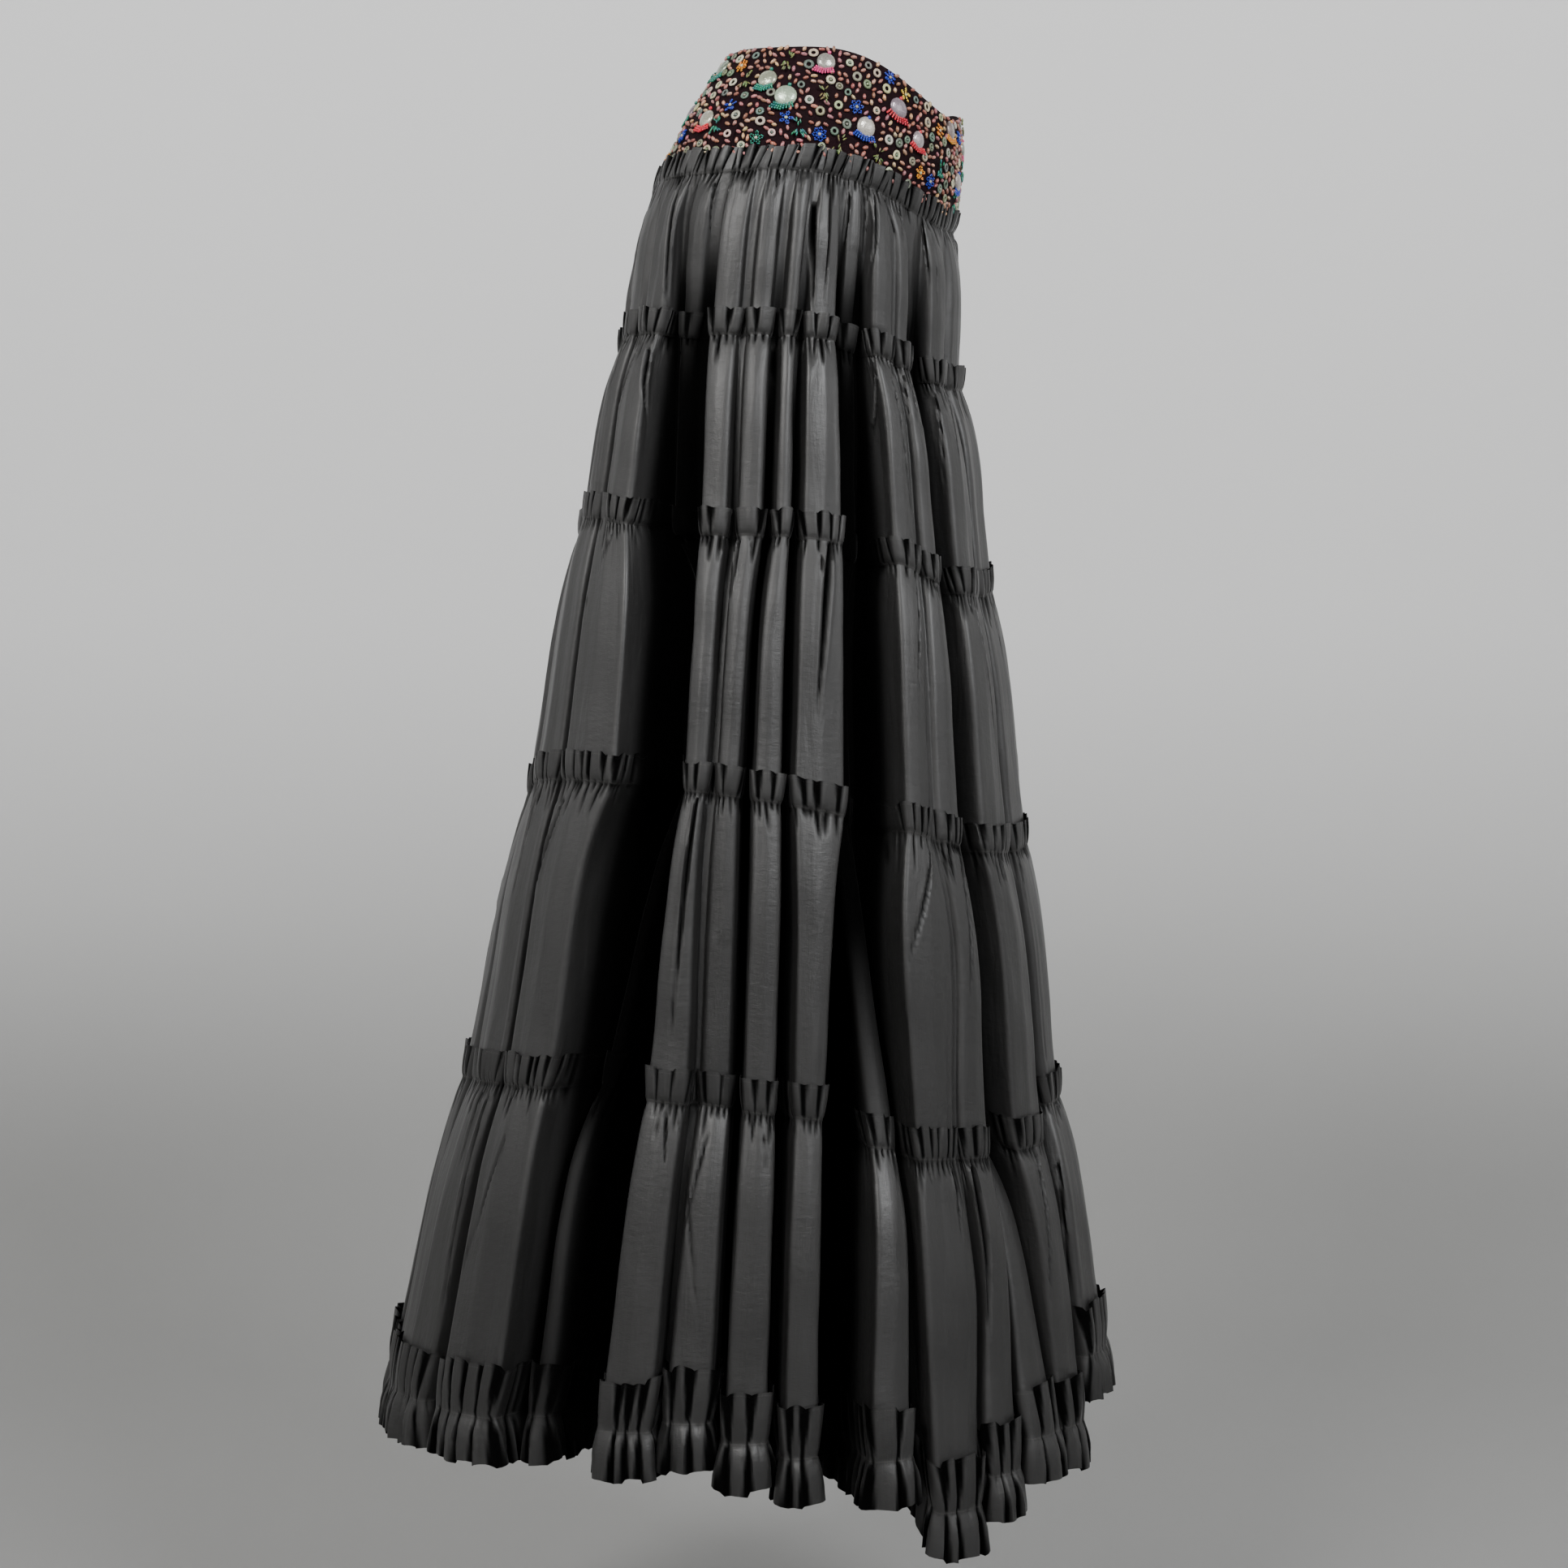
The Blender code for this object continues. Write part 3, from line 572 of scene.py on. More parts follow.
def makeTaffeta():
    material, tree, shader = nodeTree("taffeta")
    uv = addNode(tree, "ShaderNodeUVMap", uv_map="cloth").outputs[0]
    edges = addNode(tree, "ShaderNodeUVMap", uv_map="edges").outputs[0]
    across, fromThread = addNode(tree, "ShaderNodeSeparateXYZ", {0: uv}).outputs[:2]
    fromEdge = addNode(tree, "ShaderNodeSeparateXYZ", {0: edges}).outputs[0]
    # how much painted shade each point of the cloth has, from 0 to 1
    paintedShade = addNode(tree, "ShaderNodeAttribute", attribute_name="paintedShade").outputs["Fac"]

    # stitching of the turned upper edge, and the gathering thread
    stitchLine = calculate(tree, "COMPARE", fromEdge, taffeta["stitchDown"], taffeta["stitchHalf"])
    dash = calculate(tree, "FRACT", calculate(tree, "MULTIPLY", across, 1 / taffeta["stitchPitch"]))
    dash = calculate(tree, "GREATER_THAN", dash, taffeta["stitchGap"])
    gatherThread = calculate(tree, "COMPARE", fromThread, 0.0, taffeta["threadHalf"])
    thread = calculate(tree, "MAXIMUM", calculate(tree, "MULTIPLY", stitchLine, dash), gatherThread)

    broad = noise(tree, objectPlace(tree), taffeta["broadScale"], 3.0)
    color = mixColor(tree, broad, taffeta["color"], taffeta["worn"])
    color = mixColor(tree, thread, color, taffeta["thread"])
    # painted shade: slots, creases, tucks and valley floors turned near black by how deep they lie
    color = mixColor(tree, paintedShade, color, taffeta["deep"])

    # crinkles, fine ribs of the weave, and puckers by the gathering line
    along = stretched(tree, uv, (1.0, 0.16, 1.0), 0.06)
    crinkles = noise(tree, along, taffeta["crinkleScale"], 4.0, 0.5, 0.3)
    fine = noise(tree, stretched(tree, uv, (0.5, 1.0, 1.0), -0.5), taffeta["fineScale"], 3.0, 0.6)
    ribs = noise(tree, stretched(tree, uv, taffeta["ribsScale"]), 1.0)
    near = calculate(tree, "MULTIPLY", calculate(tree, "ABSOLUTE", fromThread), 1 / taffeta["puckersReach"])
    near = calculate(tree, "MAXIMUM", calculate(tree, "SUBTRACT", 1.0, near), 0.0)
    pucker = noise(tree, stretched(tree, uv, (1.0, 0.12, 1.0)), taffeta["puckersScale"])
    puckers = calculate(tree, "MULTIPLY", near, pucker)
    heights = {"crinkles": crinkles, "fine": fine, "ribs": ribs, "puckers": puckers, "threads": thread}
    addBumps(tree, shader, [(height, taffeta[key]) for key, height in heights.items()])

    gloss = mapRange(tree, broad, 0.3, 0.7, *taffeta["roughness"])
    # in the painted shade the cloth is also rougher and almost metallic, so that it reflects next to nothing
    dull = calculate(tree, "MULTIPLY", paintedShade, taffeta["paintedShadeDull"])
    setInputs(tree, shader, {
        "Base Color": color,
        "Metallic": calculate(tree, "MULTIPLY", paintedShade, taffeta["paintedShadeMetal"]),
        "Roughness": calculate(tree, "ADD", gloss, dull),
        "Specular IOR Level": taffeta["specular"],
        "Sheen Weight": taffeta["sheen"],
        "Sheen Roughness": taffeta["sheenRoughness"],
    })
    return material


taffetaMaterial = makeTaffeta()
print("taffeta made")


# Tiers
tierTable = [
    # columns round and rows down, flat width and length below the gathers, height of the heading, how far
    # the creased strips stand up and how wide they are, and the piece that it is sewn on
    {"name": "tier1Cloth", "node": "tier_1", "columns": 1000, "rows": 44, "flat": 1.50, "drop": 0.125,
     "heading": 0.0185, "strips": 0.0023, "wide": 0.0240, "restsOn": "yokeFrontCloth"},
    {"name": "tier2Cloth", "node": "tier_2", "columns": 1240, "rows": 44, "flat": 2.10, "drop": 0.164,
     "heading": 0.0205, "strips": 0.0011, "wide": 0.0150, "restsOn": "tier1Cloth"},
    {"name": "tier3Cloth", "node": "tier_3", "columns": 1500, "rows": 42, "flat": 2.90, "drop": 0.211,
     "heading": 0.0215, "strips": 0.0008, "wide": 0.0190, "restsOn": "tier2Cloth"},
    {"name": "tier4Cloth", "node": "tier_4", "columns": 1640, "rows": 40, "flat": 3.80, "drop": 0.236,
     "heading": 0.0225, "strips": 0.0009, "wide": 0.0200, "restsOn": "tier3Cloth"},
    {"name": "tier5Cloth", "node": "tier_5", "columns": 1740, "rows": 39, "flat": 4.90, "drop": 0.233,
     "heading": 0.0250, "strips": 0.0011, "wide": 0.0190, "restsOn": "tier4Cloth"},
]
clothStyle = {
    "rounding": (0.0014, 0.0015, 0.0016, 0.0016, 0.0018, 0.0020),  # of the folds at each ring
    "lip": 0.014,  # how far into a valley the columns stay close together
    "sparse": 0.36,  # and how close they are further in
    "sharp": 60,  # creases sharper than this many degrees stay sharp
    "clearOfYoke": 0.0005,  # stand-off of tier 1
    "overThread": 0.0005,  # and of the gathering line past what lies under it
    "wander": 0.22,  # how far the edges of the creased strips wander, in their widths
    "broadStrips": 0.0008,  # rise of the broader creased strips, and of the waves under them
    "broader": 2.3,  # how much broader they are
    "broadWander": 0.35,
    "waves": 0.0008,
    "waveWide": 0.030,
    "onFloors": 0.45,  # rise of strips and waves on a valley's floor, as a share of that on a crown
    "halfPinched": 0.75,  # share of the heading's panels with a pinch below their middle
    "unseen": (65, 135, 34),  # places from and to which creases are similar ones, and how many in a tier
    "paintedShadeCreases": (0.0028, 0.0028, 0.0042, 0.0042, 0.0042),  # creases as deep as this, and pinches as deep as the next, get full painted shade
    "paintedShadePinches": 0.0016,
}
headingStyle = {
    "shares": (1.0, 0.93, 0.86, 0.66, 0.46, 0.24, 0.10),  # rows above the gathering line
    "low": 0.0006,  # least stand-off
    "lean": 0.0006,  # how far it leans out at its edge on a fold's crown
    "leanCurve": 1.2,
    "onFloors": 0.28,  # how far its panels stand out on a valley's floor, as a share of that on a crown
    "atThread": 0.15,  # and by the gathering line, as a share of that at the edge
    "panel": 0.0042,  # how far its panels stand out past the slots between them
    "tilt": 0.0024,
    "widths": (0.0060, 0.0135),  # of the panels, along the ring
    "slots": (0.0013, 0.0026),  # half width of a slot at the gathers and at the edge
    "uneven": 0.0013,
    "flare": 0.0054,  # how far the frill spreads beyond a fold's edges
}
creaseTable = [
    [(45.3, 43.8, 0.06, 0.42, 4, 2.0), (35.6, 36.0, 0.03, 0.18, 4, 2.0), (31.2, 31.5, 0.04, 0.16, 3, 1.7),
     (28.2, 26.8, 0.20, 0.84, 9, 5.4), (23.4, 22.8, 0.02, 0.12, 3, 1.7), (22.0, 22.7, 0.09, 0.45, 6, 2.7),
     (18.5, 18.0, 0.02, 0.28, 4, 1.7), (16.4, 17.4, 0.03, 0.54, 6, 2.7), (13.8, 12.5, 0.03, 0.27, 5, 2.7),
     (10.1, 11.4, 0.01, 0.25, 4, 2.0), (2.6, 2.2, 0.01, 0.42, 6, 2.4), (1.3, 1.4, 0.08, 0.56, 4, 1.4),
     (50.6, 49.8, 0.06, 0.85, 8, 4.1), (42.2, 42.0, 0.03, 0.16, 3, 1.7), (41.0, 40.8, 0.02, 0.15, 3, 1.7),
     (47.8, 48.9, 0.04, 0.16, 4, 2.0), (26.0, 25.9, 0.04, 0.84, 5, 1.7)],
    [(55.6, 55.6, 0.03, 0.35, 5, 2.0), (51.2, 52.6, 0.07, 0.60, 6, 2.4), (50.2, 49.8, 0.08, 0.45, 8, 3.4),
     (49.4, 49.5, 0.00, 0.28, 6, 2.0), (41.3, 41.2, 0.02, 0.15, 4, 2.0), (33.0, 33.8, 0.00, 0.33, 7, 2.7),
     (21.8, 21.7, 0.00, 0.67, 3, 1.4), (17.7, 17.7, 0.04, 0.16, 4, 2.0), (17.1, 17.6, 0.09, 0.47, 5, 2.0),
     (15.9, 15.2, 0.10, 0.75, 5, 2.0), (10.9, 11.6, 0.04, 0.30, 4, 1.7), (2.0, 2.2, 0.04, 0.49, 4, 1.4),
     (0.4, 1.2, 0.04, 0.38, 6, 2.4), (12.0, 12.5, 0.04, 0.27, 4, 1.7), (26.4, 26.5, 0.00, 0.10, 3, 1.4),
     (25.6, 25.5, 0.00, 0.07, 3, 1.4)],
    [(53.9, 51.5, 0.08, 0.36, 7, 2.0), (50.7, 51.5, 0.04, 0.20, 5, 1.7), (36.9, 37.6, 0.02, 0.57, 10, 3.4),
     (40.3, 40.1, 0.01, 0.11, 4, 1.7), (25.7, 26.2, 0.01, 0.67, 12, 4.8), (26.1, 26.1, 0.06, 0.16, 4, 1.4),
     (15.5, 15.8, 0.04, 0.47, 8, 2.4), (1.0, 0.4, 0.06, 0.56, 8, 2.4), (136.2, 136.2, 0.04, 0.26, 5, 1.4),
     (35.9, 35.2, 0.01, 0.11, 4, 1.4), (11.2, 10.7, 0.00, 0.08, 4, 1.4), (32.0, 32.0, 0.01, 0.09, 4, 1.4)],
    [(55.9, 55.9, 0.01, 0.38, 8, 2.7), (51.6, 52.6, 0.07, 0.65, 9, 2.7), (40.5, 41.0, 0.02, 0.82, 10, 3.1),
     (25.9, 25.9, 0.01, 0.08, 4, 1.7), (15.5, 17.0, 0.03, 0.39, 9, 3.1), (12.2, 12.6, 0.03, 0.09, 5, 2.0),
     (10.4, 11.4, 0.00, 0.47, 9, 3.1), (1.1, 1.0, 0.01, 0.11, 5, 2.0), (36.7, 36.8, 0.01, 0.11, 3, 1.4),
     (11.6, 12.0, 0.02, 0.15, 4, 1.4), (39.4, 39.8, 0.02, 0.15, 4, 1.4), (136.9, 137.0, 0.01, 0.20, 4, 1.4)],
    [(55.6, 55.5, 0.04, 0.30, 7, 2.7), (55.2, 55.0, 0.04, 0.73, 10, 3.4), (40.8, 40.4, 0.03, 0.22, 6, 2.4),
     (15.3, 15.5, 0.02, 0.20, 8, 3.1), (11.7, 11.9, 0.02, 0.53, 11, 4.1), (1.1, 2.0, 0.03, 0.55, 9, 3.1),
     (137.1, 137.2, 0.24, 0.75, 8, 2.0), (30.6, 30.4, 0.07, 0.19, 4, 1.4), (41.2, 41.1, 0.03, 0.12, 4, 1.4),
     (40.3, 39.8, 0.02, 0.11, 4, 1.4), (16.6, 16.4, 0.01, 0.08, 4, 1.4), (51.6, 50.9, 0.02, 0.08, 4, 2.0),
     (37.0, 35.4, 0.30, 0.78, 4, 2.2), (36.2, 37.2, 0.10, 0.46, 5, 2.0), (51.0, 52.0, 0.15, 0.60, 5, 2.4)],
]


def foldSpread(places):
    # -1 at a fold's left edge to 1 at its right edge, fading over the valley, and 1 on crowns to 0 on floors
    local = places % 5
    side = np.interp(local, [0, 1, 2, 3, 4, 5], [-1, 0, 1, 0.6, -0.6, -1])
    crown = np.interp(local, [0, 1, 2, 3, 4, 5], [0.5, 1.0, 0.5, 0.0, 0.0, 0.5])
    return side, crown


def ringLines(index, places):
    upper, lower = seamRings[index], seamRings[index + 1]
    soft = clothStyle["rounding"]
    gather = softLine(ringFolds(upper), soft[index], places)
    swell = softLine(swollenFolds(upper, lower), soft[index] * 1.1, places)
    foot = softLine(ringFolds(lower), soft[index + 1], places)
    return gather, swell, foot


def finishSheet(spec, points, run, around, tops, shares, paintedShade):
    # shares: of the heading above the gathering line, and of the cloth below it
    below = spec["heading"] + shares * spec["drop"]
    flatDown = np.concatenate([(1 - np.array(tops)) * spec["heading"], below])
    flatAcross = np.append(run, around) / around * spec["flat"]
    obj = clothMesh(spec["name"], points, flatAcross, flatDown, len(tops), paintedShade)
    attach(obj, "root")
    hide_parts(spec["node"])
    print(spec["name"], len(obj.data.polygons) * 2, "triangles")


def alongRing(points):
    across = np.roll(points, -1, axis=1) - np.roll(points, 1, axis=1)
    return across / np.maximum(np.linalg.norm(across, axis=2, keepdims=True), 1e-12)


def frillStand(style, clear, grow, crown, out, tilt):
    # how far the panels of a frill stand off the cloth under it
    amount = style["onFloors"] + (1 - style["onFloors"]) * crown
    opened = style["atThread"] + (1 - style["atThread"]) * (1 - (1 - grow) ** 3)
    stand = clear + style["low"] + style["lean"] * grow ** style["leanCurve"] * crown
    stand = stand + amount * opened * style["panel"] * out
    return np.maximum(stand + amount * style["tilt"] * grow ** 0.7 * tilt, clear + style["low"])


def headingRows(index, gather, places, run, around, seed, style, height, clear):
    # rows of points of a heading, from its edge down to just above the gathering line
    side, crown = foldSpread(places)
    grow = np.array(style["shares"])[:, None]
    if index == 0:
        upper = softLine(ringFolds(yokeRing(0.8)), clothStyle["rounding"][0], places)
        rise = grow * height / (upper[:, 2] - gather[:, 2])
        base = gather + (upper - gather) * rise[..., None]
    else:
        above = ringLines(index - 1, places)
        fall = np.maximum(above[0][:, 2] - above[2][:, 2], 0.01)
        base = hangAt(above, 1 - grow * height / fall)
    normal = outwards(base)
    bounds = panelBounds(seed, around, *style["widths"])
    out, tilt, tall, slots = panels(seed + 40, run, around, bounds, grow, *style["slots"])
    points = base + normal * frillStand(style, clear, grow, crown, out, tilt)[..., None]
    spread = style["flare"] * grow ** 1.1 * side * np.abs(side) * (0.5 + 0.5 * crown)
    points += alongRing(base) * spread[..., None]
    points[..., 2] += style["uneven"] * grow * (tall + 1.2 * (out - 0.6))
    return points, bounds, slots


def makeTier(index):
    spec = tierTable[index]
    middle = swollenFolds(seamRings[index], seamRings[index + 1])
    places, run, around = columnPlaces(middle, spec["columns"], clothStyle["lip"], clothStyle["sparse"])
    lines = ringLines(index, places)
    clear = form["clear"] if index else clothStyle["clearOfYoke"]
    heading, bounds, slots = headingRows(index, lines[0], places, run, around, 11 + index, headingStyle,
                                         spec["heading"], clear)

    # hanging part, its rows close together by the gathers
    steps = np.linspace(0, 1, spec["rows"] + 1)
    shares = 0.7 * steps ** 1.7 + 0.3 * steps
    hang = hangAt(lines, np.repeat(shares[:, None], len(places), axis=1))
    normal = outwards(hang)
    crown = foldSpread(places)[1]
    u, v = np.meshgrid(run / around, shares)
    down = shares * spec["drop"]
    fade = (ease(shares / 0.08) * (0.35 + 0.65 * ease((1 - shares) / 0.10)))[:, None]
    style = clothStyle
    broad = spec["wide"] * style["broader"]
    lift = spec["strips"] * facets(31 + index, run, around, spec["wide"], shares, 4, style["wander"])
    lift += style["broadStrips"] * facets(51 + index, run, around, broad, shares, 4, style["broadWander"])
    lift += style["waves"] * softNoise(71 + index, int(around / style["waveWide"]), 5, u + 0.02 * v, v)
    lift *= fade * (style["onFloors"] + (1 - style["onFloors"]) * crown)
    pressed = creases(run, around, places, shares, creaseTable[index])
    pressed += creases(run, around, places, shares, similarCreases(81 + index, *style["unseen"]))
    tucks = pinches(91 + index, run, around, down, bounds, style["halfPinched"]) * (0.4 + 0.6 * crown)
    hang = hang + normal * (lift + pressed + tucks + clear)[..., None]
    hang[0] = lines[0] + outwards(hang)[0] * (clear + style["overThread"])
    upper, lower = seamRings[index], seamRings[index + 1]
    # painted shade: the heading's slots and valleys, the deepest parts of creases and tucks, and the valley
    # floors, darkened by how deep they lie
    slots = either(slots, sunken(heading, upper, upper, headingStyle["shares"]))
    dark = either(np.clip(-pressed / style["paintedShadeCreases"][index], 0, 1),
                  np.clip(-tucks / style["paintedShadePinches"], 0, 1))
    dark = either(dark, sunken(hang, upper, lower, shares))

    points = np.concatenate([heading, hang])
    paintedShade = np.concatenate([slots, dark])
    finishSheet(spec, points, run, around, headingStyle["shares"], shares, paintedShade)


for index in range(len(tierTable)):
    makeTier(index)


# Hem strip
hemStyle = {  # the frill above its gathering line, as the headings' where nothing else is said
    **headingStyle,
    "shares": (1.0, 0.96, 0.91, 0.78, 0.62, 0.46, 0.30, 0.16, 0.07),
    "low": 0.0008,
    "lean": 0.0012,
    "panel": 0.0070,
    "tilt": 0.0042,
    "widths": (0.0075, 0.0190),
    "slots": (0.0014, 0.0044),
    "uneven": 0.0030,
    "flare": 0.0066,
}
flounceStyle = {  # the frill below it
    "low": 0.0008,
    "lean": 0.0026,
    "leanCurve": 1.0,
    "onFloors": 0.30,
    "atThread": 0.18,
    "panel": 0.0090,
    "tilt": 0.0056,
    "slots": (0.0012, 0.0042),
    "uneven": 0.0028,
    "flare": 0.0050,
    "shifted": 0.0012,  # how far its slots lie from the heading's
    "halfPinched": 0.6,
    "pinched": 0.6,  # how deep its pinches are, as a share of a tier's
}
hemSpec = {"name": "hemStrip", "node": "hem_flounce", "columns": 2200, "rows": 12, "flat": 6.2,
           "heading": 0.0385, "drop": 0.035, "restsOn": "tier5Cloth"}


def makeHem():
    line = ringFolds(seamRings[-1])
    places, run, around = columnPlaces(line, hemSpec["columns"], clothStyle["lip"], clothStyle["sparse"])
    gather = softLine(line, clothStyle["rounding"][-1], places)
    clear = form["clear"]
    heading, bounds, slots = headingRows(5, gather, places, run, around, 29, hemStyle,
                                         hemSpec["heading"], clear)
    shares = np.linspace(0, 1, hemSpec["rows"] + 1)
    grow = shares[:, None]
    hang = gather[None] - np.array([0, 0, 1.0]) * (shares[:, None, None] * hemSpec["drop"])
    normal = outwards(hang)
    side, crown = foldSpread(places)
    style = flounceStyle
    shifts = np.random.default_rng(44).uniform(-style["shifted"], style["shifted"], len(bounds))
    ruffleBounds = bounds + shifts
    ruffleBounds[0] = 0
    out, tilt, tall, gaps = panels(45, run, around, ruffleBounds, grow, *style["slots"])
    stand = frillStand(style, clear, grow, crown, out, tilt)
    tucks = pinches(95, run, around, shares * hemSpec["drop"], bounds, style["halfPinched"])
    hang = hang + normal * (stand + tucks * style["pinched"])[..., None]
    hang += alongRing(hang) * (style["flare"] * grow * side * np.abs(side))[..., None]
    hang[..., 2] -= style["uneven"] * grow * (0.8 * tall - 1.2 * (out - 0.6))
    points = np.concatenate([heading, hang])
    foot = seamRings[-1]
    # painted shade in the slots of both frills and on the floors of the valleys
    paintedShade = either(np.concatenate([slots, gaps]), sunken(points, foot, foot, np.zeros(len(points))))
    finishSheet(hemSpec, points, run, around, hemStyle["shares"], shares, paintedShade)


makeHem()


# Yoke
def yokePoint(angle, share, standOff=0.0):
    # angle and share arrays of one length
    angle, share = np.atleast_1d(angle).astype(float), np.atleast_1d(share).astype(float)
    return ringPoint(yokeRing(share), angle, standOff)


ground = {
    "colors": ((0.014, 0.004, 0.006, 1), (0.006, 0.003, 0.004, 1)),
    "patchScale": 60.0,
    "weaveScale": 900.0,
    "weave": 0.0004,
    "roughness": 0.85,
    "specular": 0.08,
}


def makeGround():
    material, tree, shader = nodeTree("beadGround")
    place = objectPlace(tree)
    weave = noise(tree, place, ground["weaveScale"])
    color = mixColor(tree, noise(tree, place, ground["patchScale"]), *ground["colors"])
    addBumps(tree, shader, [(weave, ground["weave"])])
    setInputs(tree, shader, {"Base Color": color, "Roughness": ground["roughness"],
                             "Specular IOR Level": ground["specular"]})
    return material


groundMaterial = makeGround()


def makeYokePanel(name, node, first, last):
    gap = math.degrees(yokeSpec["seamGap"] / 2 / waistRing.halfDepth)
    bm = bmesh.new()
    bmesh.ops.create_grid(bm, x_segments=yokeSpec["columns"], y_segments=yokeSpec["rows"], size=1)
    placed = np.array([v.co[:2] for v in bm.verts])
    angle = first + gap + (last - first - 2 * gap) * (placed[:, 0] + 1) / 2
    share = (1 - placed[:, 1]) / 2
    bmesh.ops.reverse_faces(bm, faces=bm.faces)
    mesh = meshFrom(bm, name)
    mesh.vertices.foreach_set("co", yokePoint(angle, share).ravel())
    mesh.shade_smooth()
    mesh.materials.append(groundMaterial)
    obj = addObject(name, mesh)
    wall = obj.modifiers.new("wall", "SOLIDIFY")
    wall.thickness = yokeSpec["wall"]
    wall.offset = -1
    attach(obj, "root")
    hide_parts(node)
    return obj


yokeFront = makeYokePanel("yokeFrontCloth", "yoke_front", -90, 90)
yokeBack = makeYokePanel("yokeBackCloth", "yoke_back", 90, 270)
print("yoke made")


# Beads
def beadMaterial(name, roughness, metallic=0.0, specular=0.5, coat=0.0):
    material, tree, shader = nodeTree(name)
    tint = addNode(tree, "ShaderNodeAttribute", attribute_name="tint").outputs["Color"]
    mottle = noise(tree, objectPlace(tree), 700.0)
    shade = mapRange(tree, mottle, 0.3, 0.7, 0.72, 1.12)
    addBumps(tree, shader, [(mottle, 0.0003)])
    setInputs(tree, shader, {
        "Base Color": mixColor(tree, 1.0, tint, shade, blend_type="MULTIPLY"),
        "Roughness": roughness,
        "Metallic": metallic,
        "Specular IOR Level": specular,
        "Coat Weight": coat,
    })
    return material


def template(name, build):
    bm = bmesh.new()
    build(bm)
    bmesh.ops.recalc_face_normals(bm, faces=bm.faces)
    mesh = meshFrom(bm, name)
    mesh.shade_smooth()
    return mesh


def seedBead(bm):
    bmesh.ops.create_icosphere(bm, subdivisions=1, radius=1.0)


def riceBead(bm):
    bmesh.ops.create_uvsphere(bm, u_segments=6, v_segments=5, radius=1.0)


def ringBead(bm):
    # a washer with a hole, spun from a small flat profile
    upright = Matrix.Translation((0.70, 0, 0)) @ Matrix.Rotation(math.pi / 2, 4, "X")
    bmesh.ops.create_circle(bm, segments=5, radius=0.30, matrix=upright)
    bmesh.ops.spin(bm, geom=list(bm.verts) + list(bm.edges), axis=(0, 0, 1), cent=(0, 0, 0),
                   angle=2 * math.pi, steps=11, use_merge=True)


def domeDisc(bm):
    bmesh.ops.create_uvsphere(bm, u_segments=18, v_segments=8, radius=1.0)


beadShapes = {
    "seed": template("seed", seedBead),
    "rice": template("rice", riceBead),
    "ring": template("ring", ringBead),
    "disc": template("disc", domeDisc),
}


def frameAt(angle, share, standOff, twist):
    # place on the yoke: matrix with z outward, x turned by twist from the level direction
    here = yokePoint(angle, share)[0]
    right = yokePoint(angle + 0.5, share)[0] - yokePoint(angle - 0.5, share)[0]
    down = yokePoint(angle, share + 0.01)[0] - yokePoint(angle, share - 0.01)[0]
    normal = np.cross(right, down)
    normal /= np.linalg.norm(normal)
    right /= np.linalg.norm(right)
    up = np.cross(normal, right)
    turn = Matrix((tuple(right), tuple(up), tuple(normal))).transposed().to_4x4()
    return Matrix.Translation(Vector(here + normal * standOff)) @ turn @ Matrix.Rotation(twist, 4, "Z")


beads = {kind: [] for kind in beadShapes}  # the matrix and the color of each


def addBead(kind, matrix, size, color):
    beads[kind].append((matrix @ Matrix.Diagonal((*size, 1.0)), color))


rng = np.random.default_rng(2024)
palette = {
    "copper": [(0.36, 0.15, 0.11), (0.45, 0.21, 0.17), (0.30, 0.11, 0.09), (0.52, 0.32, 0.19),
               (0.38, 0.15, 0.15)],
    "washer": [(0.16, 0.19, 0.13), (0.24, 0.26, 0.17), (0.12, 0.16, 0.13), (0.46, 0.43, 0.28),
               (0.55, 0.50, 0.38)],
    "pearl": [(0.36, 0.34, 0.30), (0.24, 0.235, 0.22), (0.46, 0.44, 0.39), (0.19, 0.19, 0.18)],
    "fringe": [(0.62, 0.03, 0.05), (0.66, 0.06, 0.20), (0.02, 0.05, 0.42), (0.75, 0.52, 0.06),
               (0.75, 0.28, 0.03), (0.02, 0.20, 0.14)],
    "spray": [(0.03, 0.20, 0.14), (0.16, 0.18, 0.07)],
}
beadwork = {
    "discs": 24,
    "discRows": (0.13, 0.58, 0.28, 0.43),  # shares of the yoke's height, taken in turn
    "discRadius": (0.0078, 0.0098),
    "discThick": 0.0030,
    "fringe": (9, 3),  # beads across and down
    "flowers": 26,
    "flowerRadius": 0.0062,
    "petal": (0.0038, 0.0018, 0.0011),  # distance from the middle, half length and half width
    "sprays": 22,
    "sprayRadius": 0.0068,
    "sprayReach": (0.002, 0.0078),
    "washers": 190,
    "washerRadius": (0.0034, 0.0047),
    "rice": 1550,
    "riceRadius": 0.0024,
    "riceLong": (0.0024, 0.0034),
    "riceWide": (0.0014, 0.0018),
    "fromSeam": {"flowers": 4.5, "sprays": 4.5, "washers": 3.0, "rice": 1.2},  # degrees
}
taken = []  # angle, share, radius


def girth(share):
    ring = yokeRing(share)
    return math.pi * (ring.halfDepth + ring.halfWidth)


def isFree(angle, share, radius, fromSeam):
    # fromSeam: how many degrees it has to keep from the side seams
    if abs(angle % 180 - 90) <= fromSeam:
        return False
    spots = np.array(taken)
    dx = (spots[:, 0] - angle + 180) % 360 - 180
    dx = dx / 360 * girth(share)
    dy = (spots[:, 1] - share) * yokeSpec["tall"]
    return bool(np.all(np.hypot(dx, dy) > spots[:, 2] + radius))


def pick(colors):
    return tuple(c * rng.uniform(0.85, 1.15) for c in colors[rng.integers(len(colors))])


def varied(color, least, most):
    return tuple(c * rng.uniform(least, most) for c in color)


